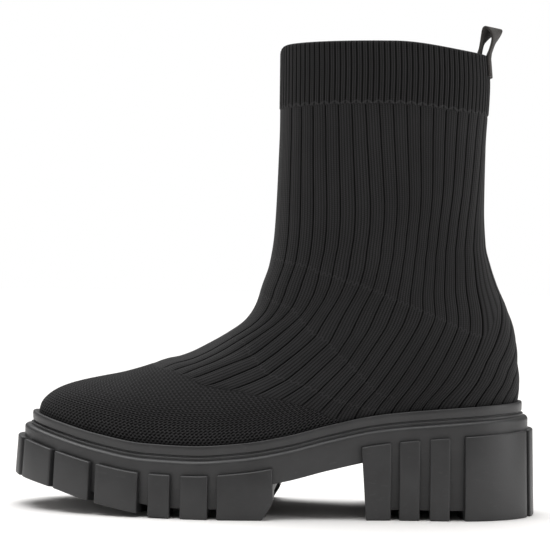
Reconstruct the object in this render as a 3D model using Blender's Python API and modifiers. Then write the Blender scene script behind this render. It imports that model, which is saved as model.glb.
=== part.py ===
"""Left platform ankle boot: a knitted sock upper on a lugged rubber sole with a block heel.

Metres, +Z up. The toe points along -X, the lateral (outer) side faces -Y, and the boot stands on
the plane Z = 0 on its heel and on the flat of its forepart tread.
"""
import math
from collections import namedtuple

import bmesh
import bpy
import numpy as np

# Upper, as the last gives it
UPPER_LENGTH = 0.254        # toe to heel, where the upper meets the sole
BALL_WIDTH = 0.088
HEEL_SEAT_WIDTH = 0.061
INSTEP_HEIGHT = 0.0633      # instep bend above the top of the welt at the ball
SHAFT_HEIGHT = 0.1447       # instep bend to the front of the collar
SHAFT_LENGTH = 0.1085       # front to back, at the collar
SHAFT_WIDTH = 0.067
COLLAR_DIP = 0.0042         # how much lower the collar is at the back
UPPER_WALL = 0.0020
TOE_SWING = 0.0060          # tip of the toe, off the boot's middle line to the medial side
FOOT_SWELL = 0.0019         # how far the sides of the foot swell out above the welt

# Sole
PLATFORM_HEIGHT = 0.0363    # floor to the top of the welt at the ball
HEEL_LIFT = 0.0229          # how much higher the top of the welt is at the heel
TOE_LIFT = 0.0131           # and at the toe
TREAD_SPRING = 0.0171       # floor to the lowest edge of the toe lug
WELT_HEIGHT = 0.0070
WELT_WIDTH = 0.0030
WELT_BEVEL = 0.0008
MIDSOLE_THICKNESS = 0.0158
MIDSOLE_WIDTH = 0.0066      # how far the midsole stands out from the upper
SOLE_FORWARD = 0.14         # share by which it stands out more at the toe, and less at the heel
MIDSOLE_LEDGE = 0.0011      # slope of the ledge between welt and midsole side
LUG_PROUD = 0.0031          # how far the lugs stand out from the midsole
LUG_LEAN = 0.0012           # how much further out they stand at the bottom
LUG_DROP = 0.0076           # top of the midsole's side down to the top of the lugs
LUG_DEPTH = 0.0050          # tread bottom up to the rubber between the lugs
LUG_BEVEL = 0.0008
LUG_REACH = 0.0160          # how far the lugs run in under the sole
FOREPART_END = 0.505        # rear end of the forepart tread, as a share of the upper's length
HEEL_START = 0.681          # front of the heel block, as a share of the upper's length
HEEL_RAKE = 0.0026          # slant of the heel block's front
REAR_CHAMFER = 0.0050       # length of the slant behind the last forepart lug
CHAMFER_SLOPE = 1.6

# Inside and trim
INSOLE_THICKNESS = 0.0030
LOOP_WIDTH = 0.0170
LOOP_HEIGHT = 0.0160        # top of the pull loop above the collar
LOOP_OVERLAP = 0.0110       # how far its legs run down the collar
LOOP_WALL = 0.0014
LOOP_TWIST = 34.0           # degrees that the top of the loop turns to the lateral side
LOOP_BOW = 0.0042           # half of the loop's opening, front to back
LOOP_LEAN = 0.0045          # how far its top leans back
LOOP_SPACE = 0.00075        # between its legs and the collar's wall
CLEARANCE = 0.0003

# How finely the pieces are faceted
RINGS = 26
RING_CROWDING = 1.25        # above 1, the rings lie closer together towards the sole
COLUMNS = 56
OUTLINE_STEPS = 42
NORMAL_SPAN = 0.0015        # length of edge over which its direction is taken
BACK_TRIES = 3              # a ring's height and its back point depend on each other

# Place of the upper's toe tip and of the heel's middle line, which centre the boot on the origin
TOE_X = -0.1255
MIDDLE_Y = -0.0004

# Side profile of the top of the welt: share of TOE_LIFT and of HEEL_LIFT above the platform
SeatRow = namedtuple("SeatRow", "station toe heel")
SEAT = (
    SeatRow(0.000, 1.000, 0.000),
    SeatRow(0.065, 0.690, 0.000),
    SeatRow(0.137, 0.370, 0.000),
    SeatRow(0.244, 0.055, 0.000),
    SeatRow(0.340, 0.000, 0.000),
    SeatRow(0.445, 0.000, 0.085),
    SeatRow(0.532, 0.000, 0.255),
    SeatRow(0.617, 0.000, 0.500),
    SeatRow(0.715, 0.000, 0.725),
    SeatRow(0.846, 0.000, 0.875),
    SeatRow(1.000, 0.000, 1.000),
)

# Underside of the tread: share of TREAD_SPRING above the floor
TreadRow = namedtuple("TreadRow", "station rise")
TREAD = (
    TreadRow(-0.050, 1.00),
    TreadRow(0.047, 0.72),
    TreadRow(0.135, 0.38),
    TreadRow(0.235, 0.11),
    TreadRow(0.300, 0.00),
    TreadRow(1.100, 0.00),
)

# Footprint: half-widths as shares of BALL_WIDTH, without the rounding of toe and heel
PlanRow = namedtuple("PlanRow", "station lateral medial")
PLAN = (
    PlanRow(0.00, 0.395, 0.400),
    PlanRow(0.15, 0.440, 0.445),
    PlanRow(0.28, 0.478, 0.488),
    PlanRow(0.38, 0.500, 0.492),
    PlanRow(0.48, 0.480, 0.460),
    PlanRow(0.60, 0.430, 0.395),
    PlanRow(0.72, 0.375, 0.360),
    PlanRow(0.85, 0.347, 0.347),
    PlanRow(1.00, 0.347, 0.347),
)
TOE_ROUND = 0.27            # length of the rounded toe and heel, as shares of the upper's length
HEEL_ROUND = 0.155
TOE_POWER = 2.15            # roundness: 2 is an ellipse, and more is squarer
HEEL_POWER = 2.1
FOOT_POWER = 2.35
SHAFT_POWER = 2.15

# Ridge from toe to instep bend: height above the platform as a share of INSTEP_HEIGHT
RidgeRow = namedtuple("RidgeRow", "station rise")
RIDGE = (
    RidgeRow(0.0000, 0.215),
    RidgeRow(0.0050, 0.285),
    RidgeRow(0.0190, 0.350),
    RidgeRow(0.0450, 0.415),
    RidgeRow(0.0790, 0.463),
    RidgeRow(0.1290, 0.510),
    RidgeRow(0.1720, 0.545),
    RidgeRow(0.2140, 0.592),
    RidgeRow(0.2450, 0.632),
    RidgeRow(0.2760, 0.660),
    RidgeRow(0.3185, 0.718),
    RidgeRow(0.3600, 0.802),
    RidgeRow(0.4016, 0.900),
    RidgeRow(0.4350, 1.000),
)

# Front of the shaft above the bend: how far it lies forward of the collar's front
FrontRow = namedtuple("FrontRow", "rise forward")
FRONT = (
    FrontRow(0.055, 0.109),
    FrontRow(0.129, 0.077),
    FrontRow(0.205, 0.043),
    FrontRow(0.312, 0.021),
    FrontRow(0.425, 0.012),
    FrontRow(0.570, 0.005),
    FrontRow(0.720, 0.000),
    FrontRow(1.000, 0.000),
)

# Back, from heel seat to collar: how far it lies behind the collar's back
BackRow = namedtuple("BackRow", "rise behind")
BACK = (
    BackRow(0.000, 0.165),
    BackRow(0.050, 0.174),
    BackRow(0.105, 0.165),
    BackRow(0.160, 0.158),
    BackRow(0.215, 0.140),
    BackRow(0.270, 0.107),
    BackRow(0.330, 0.062),
    BackRow(0.390, 0.027),
    BackRow(0.450, 0.002),
    BackRow(0.560, -0.008),
    BackRow(0.730, -0.005),
    BackRow(0.915, 0.010),
    BackRow(1.000, 0.000),
)

# From the ridge to the full width: a share of SHAFT_LENGTH below the instep bend and above it
DEPTH_BELOW_BEND = 0.42
DEPTH_ABOVE_BEND = 0.50
BEND_BLEND = (-0.015, 0.020)    # heights about the bend between which the one becomes the other

# Half-width of ankle and shaft, as a share of SHAFT_WIDTH
LegRow = namedtuple("LegRow", "rise half_width")
LEG = (
    LegRow(0.00, 0.450),
    LegRow(0.15, 0.470),
    LegRow(0.30, 0.462),
    LegRow(0.45, 0.452),
    LegRow(0.62, 0.470),
    LegRow(0.80, 0.492),
    LegRow(1.00, 0.500),
)

# Lugs along one side, from and to, as shares of the upper's length
LugRow = namedtuple("LugRow", "start end")
FOREPART_LUGS = (
    LugRow(0.0620, 0.1370),
    LugRow(0.1500, 0.2370),
    LugRow(0.2560, 0.3005),
    LugRow(0.3215, 0.3770),
    LugRow(0.3950, FOREPART_END),
)
HEEL_LUGS = (
    LugRow(HEEL_START, 0.7405),
    LugRow(0.7570, 0.7980),
    LugRow(0.8180, 0.8580),
)
# Lugs that go round toe and heel, as distances along the edge from its tip
TOE_LUG_HALF = 0.0150
TOE_SIDE_LUG = (0.0185, 0.0400)
BACK_LUG_HALF = 0.0130
BACK_SIDE_LUG = (0.0165, 0.0545)


def smooth_curve(rows):
    """Function through (at, value) rows that bends without overshooting and runs on straight."""
    at = np.array([row[0] for row in rows])
    value = np.array([row[1] for row in rows])
    step = np.diff(at)
    slope = np.diff(value) / step
    tangent = np.empty_like(value)
    tangent[0] = slope[0]
    tangent[-1] = slope[-1]
    for i in range(1, len(at) - 1):
        same_way = slope[i - 1] * slope[i] > 0
        mean = 2 * slope[i - 1] * slope[i] / (slope[i - 1] + slope[i]) if same_way else 0.0
        tangent[i] = mean

    def curve(where):
        where = np.asarray(where, dtype=float)
        i = np.clip(np.searchsorted(at, where) - 1, 0, len(step) - 1)
        t = np.clip((where - at[i]) / step[i], 0.0, 1.0)
        inside = (value[i] * (2 * t**3 - 3 * t**2 + 1) + value[i + 1] * (3 * t**2 - 2 * t**3)
                  + step[i] * (tangent[i] * (t**3 - 2 * t**2 + t) + tangent[i + 1] * (t**3 - t**2)))
        before = np.minimum(where - at[0], 0.0) * tangent[0]
        after = np.maximum(where - at[-1], 0.0) * tangent[-1]
        return inside + before + after
    return curve


def ease(value, low, high):
    """0 below low, 1 above high, and a soft step between."""
    t = np.clip((value - low) / (high - low), 0.0, 1.0)
    return t * t * (3 - 2 * t)


def station_x(station):
    return TOE_X + station * UPPER_LENGTH


# Heights of the sole's side, as functions of x
seat_rows = [(station_x(r.station), PLATFORM_HEIGHT + r.toe * TOE_LIFT + r.heel * HEEL_LIFT) for r in SEAT]
welt_top = smooth_curve(seat_rows)
tread_rows = [(station_x(r.station), r.rise * TREAD_SPRING) for r in TREAD]
tread_bottom = smooth_curve(tread_rows)


def midsole_top(x):
    return welt_top(x) - WELT_HEIGHT


def midsole_bottom(x):
    return midsole_top(x) - MIDSOLE_THICKNESS


def lug_top(x):
    return midsole_top(x) - LUG_DROP


# Footprint of the upper
plan_side = {
    -1: smooth_curve([(station_x(r.station), r.lateral * BALL_WIDTH) for r in PLAN]),
    1: smooth_curve([(station_x(r.station), r.medial * BALL_WIDTH) for r in PLAN]),
}


def toe_closure(x):
    """1 behind the rounded toe, 0 at its tip."""
    t = np.clip(1 - (x - TOE_X) / (TOE_ROUND * UPPER_LENGTH), 0.0, 1.0)
    return np.maximum(1 - t**TOE_POWER, 0.0) ** (1 / TOE_POWER)


def swing(x):
    """The last's middle line, which bends to the medial side towards the toe."""
    return MIDDLE_Y + TOE_SWING * (1 - ease(x, TOE_X, station_x(0.42)))


def heel_closure(x, back):
    t = np.clip(1 - (back - x) / (HEEL_ROUND * UPPER_LENGTH), 0.0, 1.0)
    return np.maximum(1 - t**HEEL_POWER, 0.0) ** (1 / HEEL_POWER)


def plan_width(x, side):
    """Half-width of the footprint, before toe and heel are rounded; the heel keeps its own width."""
    heel_share = ease(x, station_x(0.62), station_x(0.86))
    return plan_side[side](x) * (1 - heel_share) + 0.5 * HEEL_SEAT_WIDTH * heel_share


def footprint_y(x, side):
    width = plan_width(x, side) * toe_closure(x) * heel_closure(x, station_x(1.0))
    return swing(x) + side * width


def outline(offset, steps=OUTLINE_STEPS):
    """Closed plan outline: toe tip, lateral side, heel, medial side; offset outwards."""
    turn = np.linspace(0.0, math.pi, 40 * steps + 1)
    x = TOE_X + UPPER_LENGTH * 0.5 * (1 - np.cos(turn))
    lateral = np.column_stack((x, footprint_y(x, -1)))
    medial = np.column_stack((x, footprint_y(x, 1)))[::-1]
    loop = np.vstack((lateral, medial[1:-1]))
    ahead = np.roll(loop, -1, axis=0) - np.roll(loop, 1, axis=0)
    normal = np.column_stack((ahead[:, 1], -ahead[:, 0]))
    normal /= np.linalg.norm(normal, axis=1)[:, None]
    loop = loop + offset * (normal - (SOLE_FORWARD * (offset > 0), 0.0))
    half = len(lateral)
    sides = []
    for run in (loop[:half], np.vstack((loop[half - 1:], loop[:1]))):
        length = np.concatenate(((0.0,), np.cumsum(np.linalg.norm(np.diff(run, axis=0), axis=1))))
        even = np.linspace(0.0, length[-1], steps + 1)
        sides.append(np.column_stack([np.interp(even, length, run[:, k]) for k in (0, 1)]))
    return np.vstack((sides[0], sides[1][1:-1]))


class EdgeLine:
    """One side of an offset outline, read by the distance along it."""

    def __init__(self, side, from_heel=False):
        fine = outline(MIDSOLE_WIDTH, 400)
        half = len(fine) // 2
        run = fine[:half + 1] if side < 0 else np.vstack((fine[:1], fine[half:][::-1]))
        self.points = run[::-1] if from_heel else run
        gaps = np.linalg.norm(np.diff(self.points, axis=0), axis=1)
        self.length = np.concatenate(((0.0,), np.cumsum(gaps)))
        self.turn = -side if from_heel else side

    def at_x(self, x):
        """Distance along the line at which it passes x."""
        order = np.argsort(self.points[:, 0])
        return float(np.interp(x, self.points[order, 0], self.length[order]))

    def place(self, distance):
        """Point at a distance, and the outward normal there; negative distances mirror the tip."""
        point = np.array([np.interp(abs(distance), self.length, self.points[:, k]) for k in (0, 1)])
        near = max(abs(distance) - NORMAL_SPAN, 0.0)
        ends = [np.array([np.interp(d, self.length, self.points[:, k]) for k in (0, 1)])
                for d in (near, abs(distance) + NORMAL_SPAN)]
        along = ends[1] - ends[0]
        normal = np.array((-along[1], along[0])) * self.turn
        return point, normal / np.linalg.norm(normal)


# Front and back outline of the upper, seen from the side
COLLAR_Z = PLATFORM_HEIGHT + INSTEP_HEIGHT + SHAFT_HEIGHT
BEND_Z = PLATFORM_HEIGHT + INSTEP_HEIGHT
HEEL_SEAT_Z = PLATFORM_HEIGHT + HEEL_LIFT
SHAFT_BACK = station_x(1.0) - BACK[0].behind * SHAFT_LENGTH
SHAFT_FRONT = SHAFT_BACK - SHAFT_LENGTH


def front_points():
    rows = [(station_x(r.station), PLATFORM_HEIGHT + r.rise * INSTEP_HEIGHT) for r in RIDGE]
    for r in FRONT:
        rows.append((SHAFT_FRONT - r.forward * SHAFT_LENGTH, BEND_Z + r.rise * SHAFT_HEIGHT))
    return rows


def dense_line(rows, count=1200):
    """Smooth line through (x, z) rows, as evenly spaced points."""
    rows = np.array(rows)
    chord = np.concatenate(((0.0,), np.cumsum(np.linalg.norm(np.diff(rows, axis=0), axis=1))))
    at = np.linspace(0.0, chord[-1], count)
    return np.column_stack([smooth_curve(list(zip(chord, rows[:, k])))(at) for k in (0, 1)])


ridge_line = dense_line([(TOE_X, midsole_top(TOE_X) + CLEARANCE)] + front_points())
ridge_line[:, 0] = np.maximum.accumulate(ridge_line[:, 0])
ridge_way = np.gradient(ridge_line, axis=0)
ridge_way /= np.linalg.norm(ridge_way, axis=1)[:, None]
back_curve = smooth_curve([(HEEL_SEAT_Z + r.rise * (COLLAR_Z - COLLAR_DIP - HEEL_SEAT_Z),
                            SHAFT_BACK + r.behind * SHAFT_LENGTH) for r in BACK])
leg_curve = smooth_curve([(HEEL_SEAT_Z + r.rise * (COLLAR_Z - HEEL_SEAT_Z), r.half_width * SHAFT_WIDTH)
                          for r in LEG])


def back_x(z):
    return back_curve(np.maximum(z, HEEL_SEAT_Z))


def ridge_z(x):
    nudge = np.arange(len(ridge_line)) * 1e-9
    return np.interp(x, ridge_line[:, 0] + nudge, ridge_line[:, 1])


def ridge_distance(x, z):
    """Distance in the side view to the ridge, and the height of its nearest point."""
    x, z = np.broadcast_arrays(x, z)
    across = x.reshape(-1, 1) - ridge_line[None, ::3, 0]
    upward = z.reshape(-1, 1) - ridge_line[None, ::3, 1]
    nearest = np.hypot(across, upward).argmin(axis=1)
    row = np.arange(len(nearest))
    way = ridge_way[::3][nearest]
    gap = np.abs(across[row, nearest] * way[:, 1] - upward[row, nearest] * way[:, 0])
    return gap.reshape(x.shape), ridge_line[::3, 1][nearest].reshape(x.shape)


def upper_half_width(x, z, side):
    """Half-width of the upper at a point of its side view: sections across the foot in front,
    level sections round ankle and shaft, and a soft change between them."""
    seat = welt_top(x)
    height = z - seat
    leg_share = (ease(height, 0.18 * INSTEP_HEIGHT, 0.95 * INSTEP_HEIGHT)
                 * ease(x, station_x(0.36), station_x(0.5)))
    swell = FOOT_SWELL * np.sin(np.clip(height / (0.55 * INSTEP_HEIGHT), 0.0, 1.0) * math.pi) ** 2
    foot = plan_width(x, side) * toe_closure(x) + swell * toe_closure(x)
    broad = foot * (1 - leg_share) + leg_curve(z) * leg_share

    across = np.clip(height / np.maximum(ridge_z(x) - seat, 1e-6), 0.0, 1.0)
    gap, nearest_z = ridge_distance(x, z)
    above_bend = ease(nearest_z, BEND_Z + BEND_BLEND[0], BEND_Z + BEND_BLEND[1])
    depth = SHAFT_LENGTH * (DEPTH_BELOW_BEND + (DEPTH_ABOVE_BEND - DEPTH_BELOW_BEND) * above_bend)
    inward = np.clip(1 - gap / depth, 0.0, 1.0)
    shaft_share = ease(x, station_x(0.28), station_x(0.42))
    toward_ridge = across * (1 - shaft_share) + inward * shaft_share
    power = FOOT_POWER * (1 - shaft_share) + SHAFT_POWER * shaft_share
    front_close = np.maximum(1 - toward_ridge**power, 0.0) ** (1 / power)

    middle = 0.5 * (SHAFT_FRONT + SHAFT_BACK)
    ankle_share = ease(z, HEEL_SEAT_Z, BEND_Z + 0.25 * SHAFT_HEIGHT)
    rear = back_x(z)
    start = (rear - HEEL_ROUND * UPPER_LENGTH) * (1 - ankle_share) + middle * ankle_share
    toward_back = np.clip((x - start) / (rear - start), 0.0, 1.0)
    back_close = np.maximum(1 - toward_back**HEEL_POWER, 0.0) ** (1 / HEEL_POWER)
    return broad * front_close * back_close


def collar_z(x):
    """Height of the collar's edge, which dips towards the back."""
    return COLLAR_Z - COLLAR_DIP * ease(x, SHAFT_FRONT + 0.55 * SHAFT_LENGTH, SHAFT_BACK)


def upper_ring(share, columns, samples=600):
    """One level of the upper: 0 at the sole, 1 at the collar; toe, lateral side, heel, medial side."""
    front = np.array([np.interp(share * (len(ridge_line) - 1), np.arange(len(ridge_line)), ridge_line[:, k])
                      for k in (0, 1)])
    low = midsole_top(station_x(1.0)) + CLEARANCE
    rear_z = low + share * (COLLAR_Z - COLLAR_DIP - low)
    rear_x = float(back_x(rear_z))
    turn = np.linspace(0.0, math.pi, samples)
    front_rise = front[1] - (midsole_top(front[0]) + CLEARANCE)
    shaft_share = ease(share, 0.55, 1.0)
    for _ in range(BACK_TRIES):
        x = front[0] + (rear_x - front[0]) * 0.5 * (1 - np.cos(turn))
        base = midsole_top(x) + CLEARANCE
        rear_rise = rear_z - (midsole_top(rear_x) + CLEARANCE)
        across = ease(x, front[0], rear_x)
        rising = base + front_rise * (1 - across) + rear_rise * across
        z = rising * (1 - shaft_share) + collar_line(x, share) * shaft_share
        rear_x = float(back_x(z[-1]))
    runs = []
    for side in (-1, 1):
        rising_share = ease(z - welt_top(x), 0.0, INSTEP_HEIGHT)
        middle_y = swing(x) * (1 - rising_share) + MIDDLE_Y * rising_share
        half_width = upper_half_width(x, z, side)
        half_width[-1] = 0.0
        run = np.column_stack((x, middle_y + side * half_width, z))
        length = np.concatenate(((0.0,), np.cumsum(np.linalg.norm(np.diff(run, axis=0), axis=1))))
        even = np.linspace(0.0, length[-1], columns // 2 + 1)
        runs.append(np.column_stack([np.interp(even, length, run[:, k]) for k in (0, 1, 2)]))
    return np.vstack((runs[0], runs[1][::-1][1:-1]))


def collar_line(x, share):
    """The collar's edge carried down the shaft in step with the front line."""
    front_z = np.interp(share * (len(ridge_line) - 1), np.arange(len(ridge_line)), ridge_line[:, 1])
    return collar_z(x) - (COLLAR_Z - front_z)


def new_collection(name):
    collection = bpy.data.collections.new(name)
    bpy.context.scene.collection.children.link(collection)
    return collection


def new_object(name, bm, collection, material=None, smooth_angle=None):
    bmesh.ops.recalc_face_normals(bm, faces=bm.faces)
    mesh = bpy.data.meshes.new(name)
    bm.to_mesh(mesh)
    bm.free()
    if smooth_angle is not None:
        mesh.shade_smooth()
        mesh.set_sharp_from_angle(angle=math.radians(smooth_angle))
    obj = bpy.data.objects.new(name, mesh)
    collection.objects.link(obj)
    if material is not None:
        mesh.materials.append(material)
    return obj


def new_material(name, colour, roughness):
    material = bpy.data.materials.new(name)
    material.use_nodes = True
    shader = material.node_tree.nodes["Principled BSDF"]
    shader.inputs["Base Color"].default_value = (*colour, 1.0)
    shader.inputs["Roughness"].default_value = roughness
    shader.inputs["Metallic"].default_value = 0.0
    material.diffuse_color = (*colour, 1.0)
    return material


def bridge(bm, rings, closed_rings=True):
    """Join rings of vertices, in order, with quads."""
    for low, high in zip(rings, rings[1:]):
        count = len(low)
        for i in range(count if closed_rings else count - 1):
            j = (i + 1) % count
            bm.faces.new((low[i], low[j], high[j], high[i]))


def cap_across(bm, ring):
    """Close an outline ring with strips that run straight from its lateral to its medial side."""
    count = len(ring)
    half = count // 2
    for i in range(half):
        corners = [ring[i], ring[i + 1], ring[(count - i - 1) % count], ring[(count - i) % count]]
        distinct = list(dict.fromkeys(corners))
        bm.faces.new(distinct)


def ring_verts(bm, plan, height):
    return [bm.verts.new((x, y, float(height(x)))) for x, y in plan]


def make_upper(collection, knit):
    bm = bmesh.new()
    rings = []
    for i in range(RINGS + 1):
        share = (i / RINGS) ** RING_CROWDING
        rings.append([bm.verts.new(point) for point in upper_ring(share, COLUMNS)])
    bridge(bm, rings)
    upper = new_object("upper", bm, collection, knit, 60)
    wall = upper.modifiers.new("wall", "SOLIDIFY")
    wall.thickness = UPPER_WALL
    wall.offset = -1.0
    wall.use_even_offset = True
    wall.use_rim = True
    return upper


def make_welt(collection, rubber):
    """Rand: a band round the upper with a bevelled lip, a fine groove and a thin bead below it."""
    groove = 0.10 * WELT_HEIGHT
    profile = (
        (CLEARANCE, WELT_HEIGHT - CLEARANCE),
        (CLEARANCE, 0.0),
        (WELT_WIDTH - WELT_BEVEL, 0.0),
        (WELT_WIDTH, WELT_BEVEL),
        (WELT_WIDTH, WELT_HEIGHT - 3.0 * groove),
        (WELT_WIDTH - groove, WELT_HEIGHT - 2.6 * groove),
        (WELT_WIDTH - groove, WELT_HEIGHT - 1.8 * groove),
        (WELT_WIDTH + groove, WELT_HEIGHT - 1.4 * groove),
        (WELT_WIDTH + groove, WELT_HEIGHT - CLEARANCE),
    )
    bm = bmesh.new()
    rings = [ring_verts(bm, outline(out), lambda x, d=down: welt_top(x) - d) for out, down in profile]
    bridge(bm, rings + rings[:1])
    return new_object("welt", bm, collection, rubber, 35)


def make_midsole(collection, rubber):
    """Platform slab with the sloping ledge under the welt and rounded edges."""
    bevel = LUG_BEVEL
    profile = (
        (WELT_WIDTH + bevel, 0.0),
        (MIDSOLE_WIDTH - 1.2 * bevel, 0.6 * MIDSOLE_LEDGE),
        (MIDSOLE_WIDTH, MIDSOLE_LEDGE + bevel),
        (MIDSOLE_WIDTH, MIDSOLE_THICKNESS - bevel),
        (MIDSOLE_WIDTH - bevel, MIDSOLE_THICKNESS),
    )
    bm = bmesh.new()
    rings = [ring_verts(bm, outline(out), lambda x, d=down: midsole_top(x) - d) for out, down in profile]
    bridge(bm, rings)
    cap_across(bm, rings[0])
    cap_across(bm, rings[-1])
    return new_object("midsole", bm, collection, rubber, 35)


def forepart_bottom(x):
    """Underside of the forepart lugs, with the slant behind the last of them."""
    return tread_bottom(x) + CHAMFER_SLOPE * np.maximum(x - (station_x(FOREPART_END) - REAR_CHAMFER), 0.0)


def lug_section(point, out_way, bottom, rake=0.0):
    """Upright section of one lug on the sole's edge; rake slants it towards the heel at its foot."""
    out_way = out_way - np.array((SOLE_FORWARD, 0.0)) * abs(out_way[0]) / np.linalg.norm(out_way)

    def corner(out, height):
        x, y = point + out_way * out
        z = float(height(x))
        return (x + rake * (1 - z / float(lug_top(x))), y, z)

    def core_middle(x):
        return 0.5 * (bottom(x) + LUG_DEPTH + midsole_bottom(x) - CLEARANCE)

    foot = LUG_PROUD + LUG_LEAN
    return (
        corner(-LUG_REACH, bottom),
        corner(foot - LUG_BEVEL, bottom),
        corner(foot, lambda x: bottom(x) + LUG_BEVEL),
        corner(LUG_PROUD, lambda x: lug_top(x) - LUG_BEVEL),
        corner(LUG_PROUD - LUG_BEVEL, lug_top),
        corner(CLEARANCE, lug_top),
        corner(CLEARANCE, lambda x: midsole_bottom(x) - CLEARANCE),
        corner(-LUG_PROUD, lambda x: midsole_bottom(x) - LUG_PROUD),
        corner(-LUG_REACH, core_middle),
    )


def sweep_lug(bm, sections):
    rings = [[bm.verts.new(corner) for corner in section] for section in sections]
    bridge(bm, rings)
    bm.faces.new(rings[0])
    bm.faces.new(reversed(rings[-1]))


def add_side_lug(bm, line, xs, bottom, rake=0.0):
    """One lug on a long side, through sections straight across the sole at each x."""
    sections = []
    for i, x in enumerate(xs):
        point, normal = line.place(line.at_x(x))
        straight_out = np.array((0.0, 1.0 / normal[1]))
        sections.append(lug_section(point, straight_out, bottom, rake if i == 0 else 0.0))
    sweep_lug(bm, sections)


def add_round_lug(bm, lines, start, end, bottom, pieces=4):
    """A lug that follows toe or heel round; distances below 0 are on the lateral side of the tip."""
    sections = []
    for i in range(pieces + 1):
        distance = start + (end - start) * i / pieces
        line = lines[-1] if distance < 0 else lines[1]
        point, normal = line.place(distance)
        sections.append(lug_section(point, normal, bottom))
    sweep_lug(bm, sections)


def row_xs(row, pieces=3, last_break=None):
    """Places of a side lug's sections, with one of them at a corner of its underside."""
    xs = list(np.linspace(station_x(row.start), station_x(row.end), pieces + 1))
    if last_break is not None and xs[0] < last_break < xs[-1]:
        xs = list(np.linspace(xs[0], last_break, pieces)) + [xs[-1]]
    return xs


def cut_outline(first_x, last_x, offset):
    """The part of an outline between two cuts straight across: lateral run, then medial run."""
    plan = outline(offset)
    half = len(plan) // 2
    runs = []
    for run in (plan[:half + 1], np.vstack((plan[:1], plan[half:][::-1]))):
        inside = [p for p in run if first_x < p[0] < last_x]
        cuts = []
        for cut in (first_x, last_x):
            if run[0, 0] < cut < run[half, 0]:
                cuts.append(np.array((cut, np.interp(cut, run[:, 0], run[:, 1]))))
            else:
                cuts.append(None)
        points = ([cuts[0]] if cuts[0] is not None else []) + inside
        points += [cuts[1]] if cuts[1] is not None else []
        runs.append(points)
    return runs


def make_core(bm, first_x, last_x, low, high):
    """Block between two heights over the part of the sole between two cuts."""
    lateral, medial = cut_outline(first_x, last_x, MIDSOLE_WIDTH)
    if np.allclose(lateral[0], medial[0]):
        medial = medial[1:]
    if np.allclose(lateral[-1], medial[-1]):
        medial = medial[:-1]
    loop = lateral + medial[::-1]
    levels = []
    for height in (low, high):
        levels.append([bm.verts.new((p[0], p[1], float(height(p[0])))) for p in loop])
    bridge(bm, levels)
    shorter = min(len(lateral), len(medial))
    offset = (len(lateral) - shorter) // 2
    for level in levels:
        near = level[:len(lateral)]
        far = level[len(lateral):][::-1]
        far_at = [far[min(max(i - offset, 0), len(far) - 1)] for i in range(len(near))]
        for i in range(len(near) - 1):
            corners = list(dict.fromkeys((near[i], near[i + 1], far_at[i + 1], far_at[i])))
            bm.faces.new(corners)
    bmesh.ops.triangulate(bm, faces=bm.faces)


def join_lugs(core, lugs):
    lugs.hide_render = True
    lugs.display_type = "WIRE"
    union = core.modifiers.new("lugs", "BOOLEAN")
    union.operation = "UNION"
    union.solver = "EXACT"
    union.object = lugs


def make_outsole(collection, cutters, rubber):
    """Forepart tread: a plate under the midsole with the lugs that lap up its side."""
    last_x = station_x(FOREPART_END)
    bm = bmesh.new()
    make_core(bm, -1.0, last_x - CLEARANCE, lambda x: forepart_bottom(x) + LUG_DEPTH,
              lambda x: midsole_bottom(x) - CLEARANCE)
    core = new_object("outsole", bm, collection, rubber, 30)
    bm = bmesh.new()
    lines = {side: EdgeLine(side) for side in (-1, 1)}
    add_round_lug(bm, lines, -TOE_LUG_HALF, TOE_LUG_HALF, forepart_bottom)
    for side, line in lines.items():
        start, end = TOE_SIDE_LUG
        add_round_lug(bm, lines, side * start, side * end, forepart_bottom)
        for row in FOREPART_LUGS:
            if row.end < TOE_ROUND:
                ends = (side * line.at_x(station_x(share)) for share in row)
                add_round_lug(bm, lines, *ends, forepart_bottom)
            else:
                add_side_lug(bm, line, row_xs(row, 3, last_x - REAR_CHAMFER), forepart_bottom)
    join_lugs(core, new_object("forepart_lugs", bm, cutters))
    return core


def heel_bottom(x):
    return 0.0 * x


def make_heel(collection, cutters, rubber):
    """Block heel: a plain core with proud lugs and upright grooves between them."""
    bm = bmesh.new()
    make_core(bm, station_x(HEEL_START) + HEEL_RAKE, 1.0, lambda x: heel_bottom(x) + LUG_DEPTH,
              lambda x: midsole_bottom(x) - CLEARANCE)
    core = new_object("heel", bm, collection, rubber, 30)
    bm = bmesh.new()
    lines = {side: EdgeLine(side, from_heel=True) for side in (-1, 1)}
    add_round_lug(bm, lines, -BACK_LUG_HALF, BACK_LUG_HALF, heel_bottom)
    for side, line in lines.items():
        start, end = BACK_SIDE_LUG
        add_round_lug(bm, lines, side * start, side * end, heel_bottom, 6)
        for i, row in enumerate(HEEL_LUGS):
            add_side_lug(bm, line, row_xs(row, 2), heel_bottom, HEEL_RAKE if i == 0 else 0.0)
    join_lugs(core, new_object("heel_lugs", bm, cutters))
    return core


def make_insole(collection, textile):
    inset = -(UPPER_WALL + 2 * CLEARANCE)
    plan = outline(inset)
    bm = bmesh.new()
    rings = [
        ring_verts(bm, plan, lambda x: midsole_top(x) + CLEARANCE),
        ring_verts(bm, plan, lambda x: midsole_top(x) + CLEARANCE + INSOLE_THICKNESS),
    ]
    bridge(bm, rings)
    cap_across(bm, rings[0])
    cap_across(bm, rings[1])
    return new_object("insole", bm, collection, textile, 35)


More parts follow.
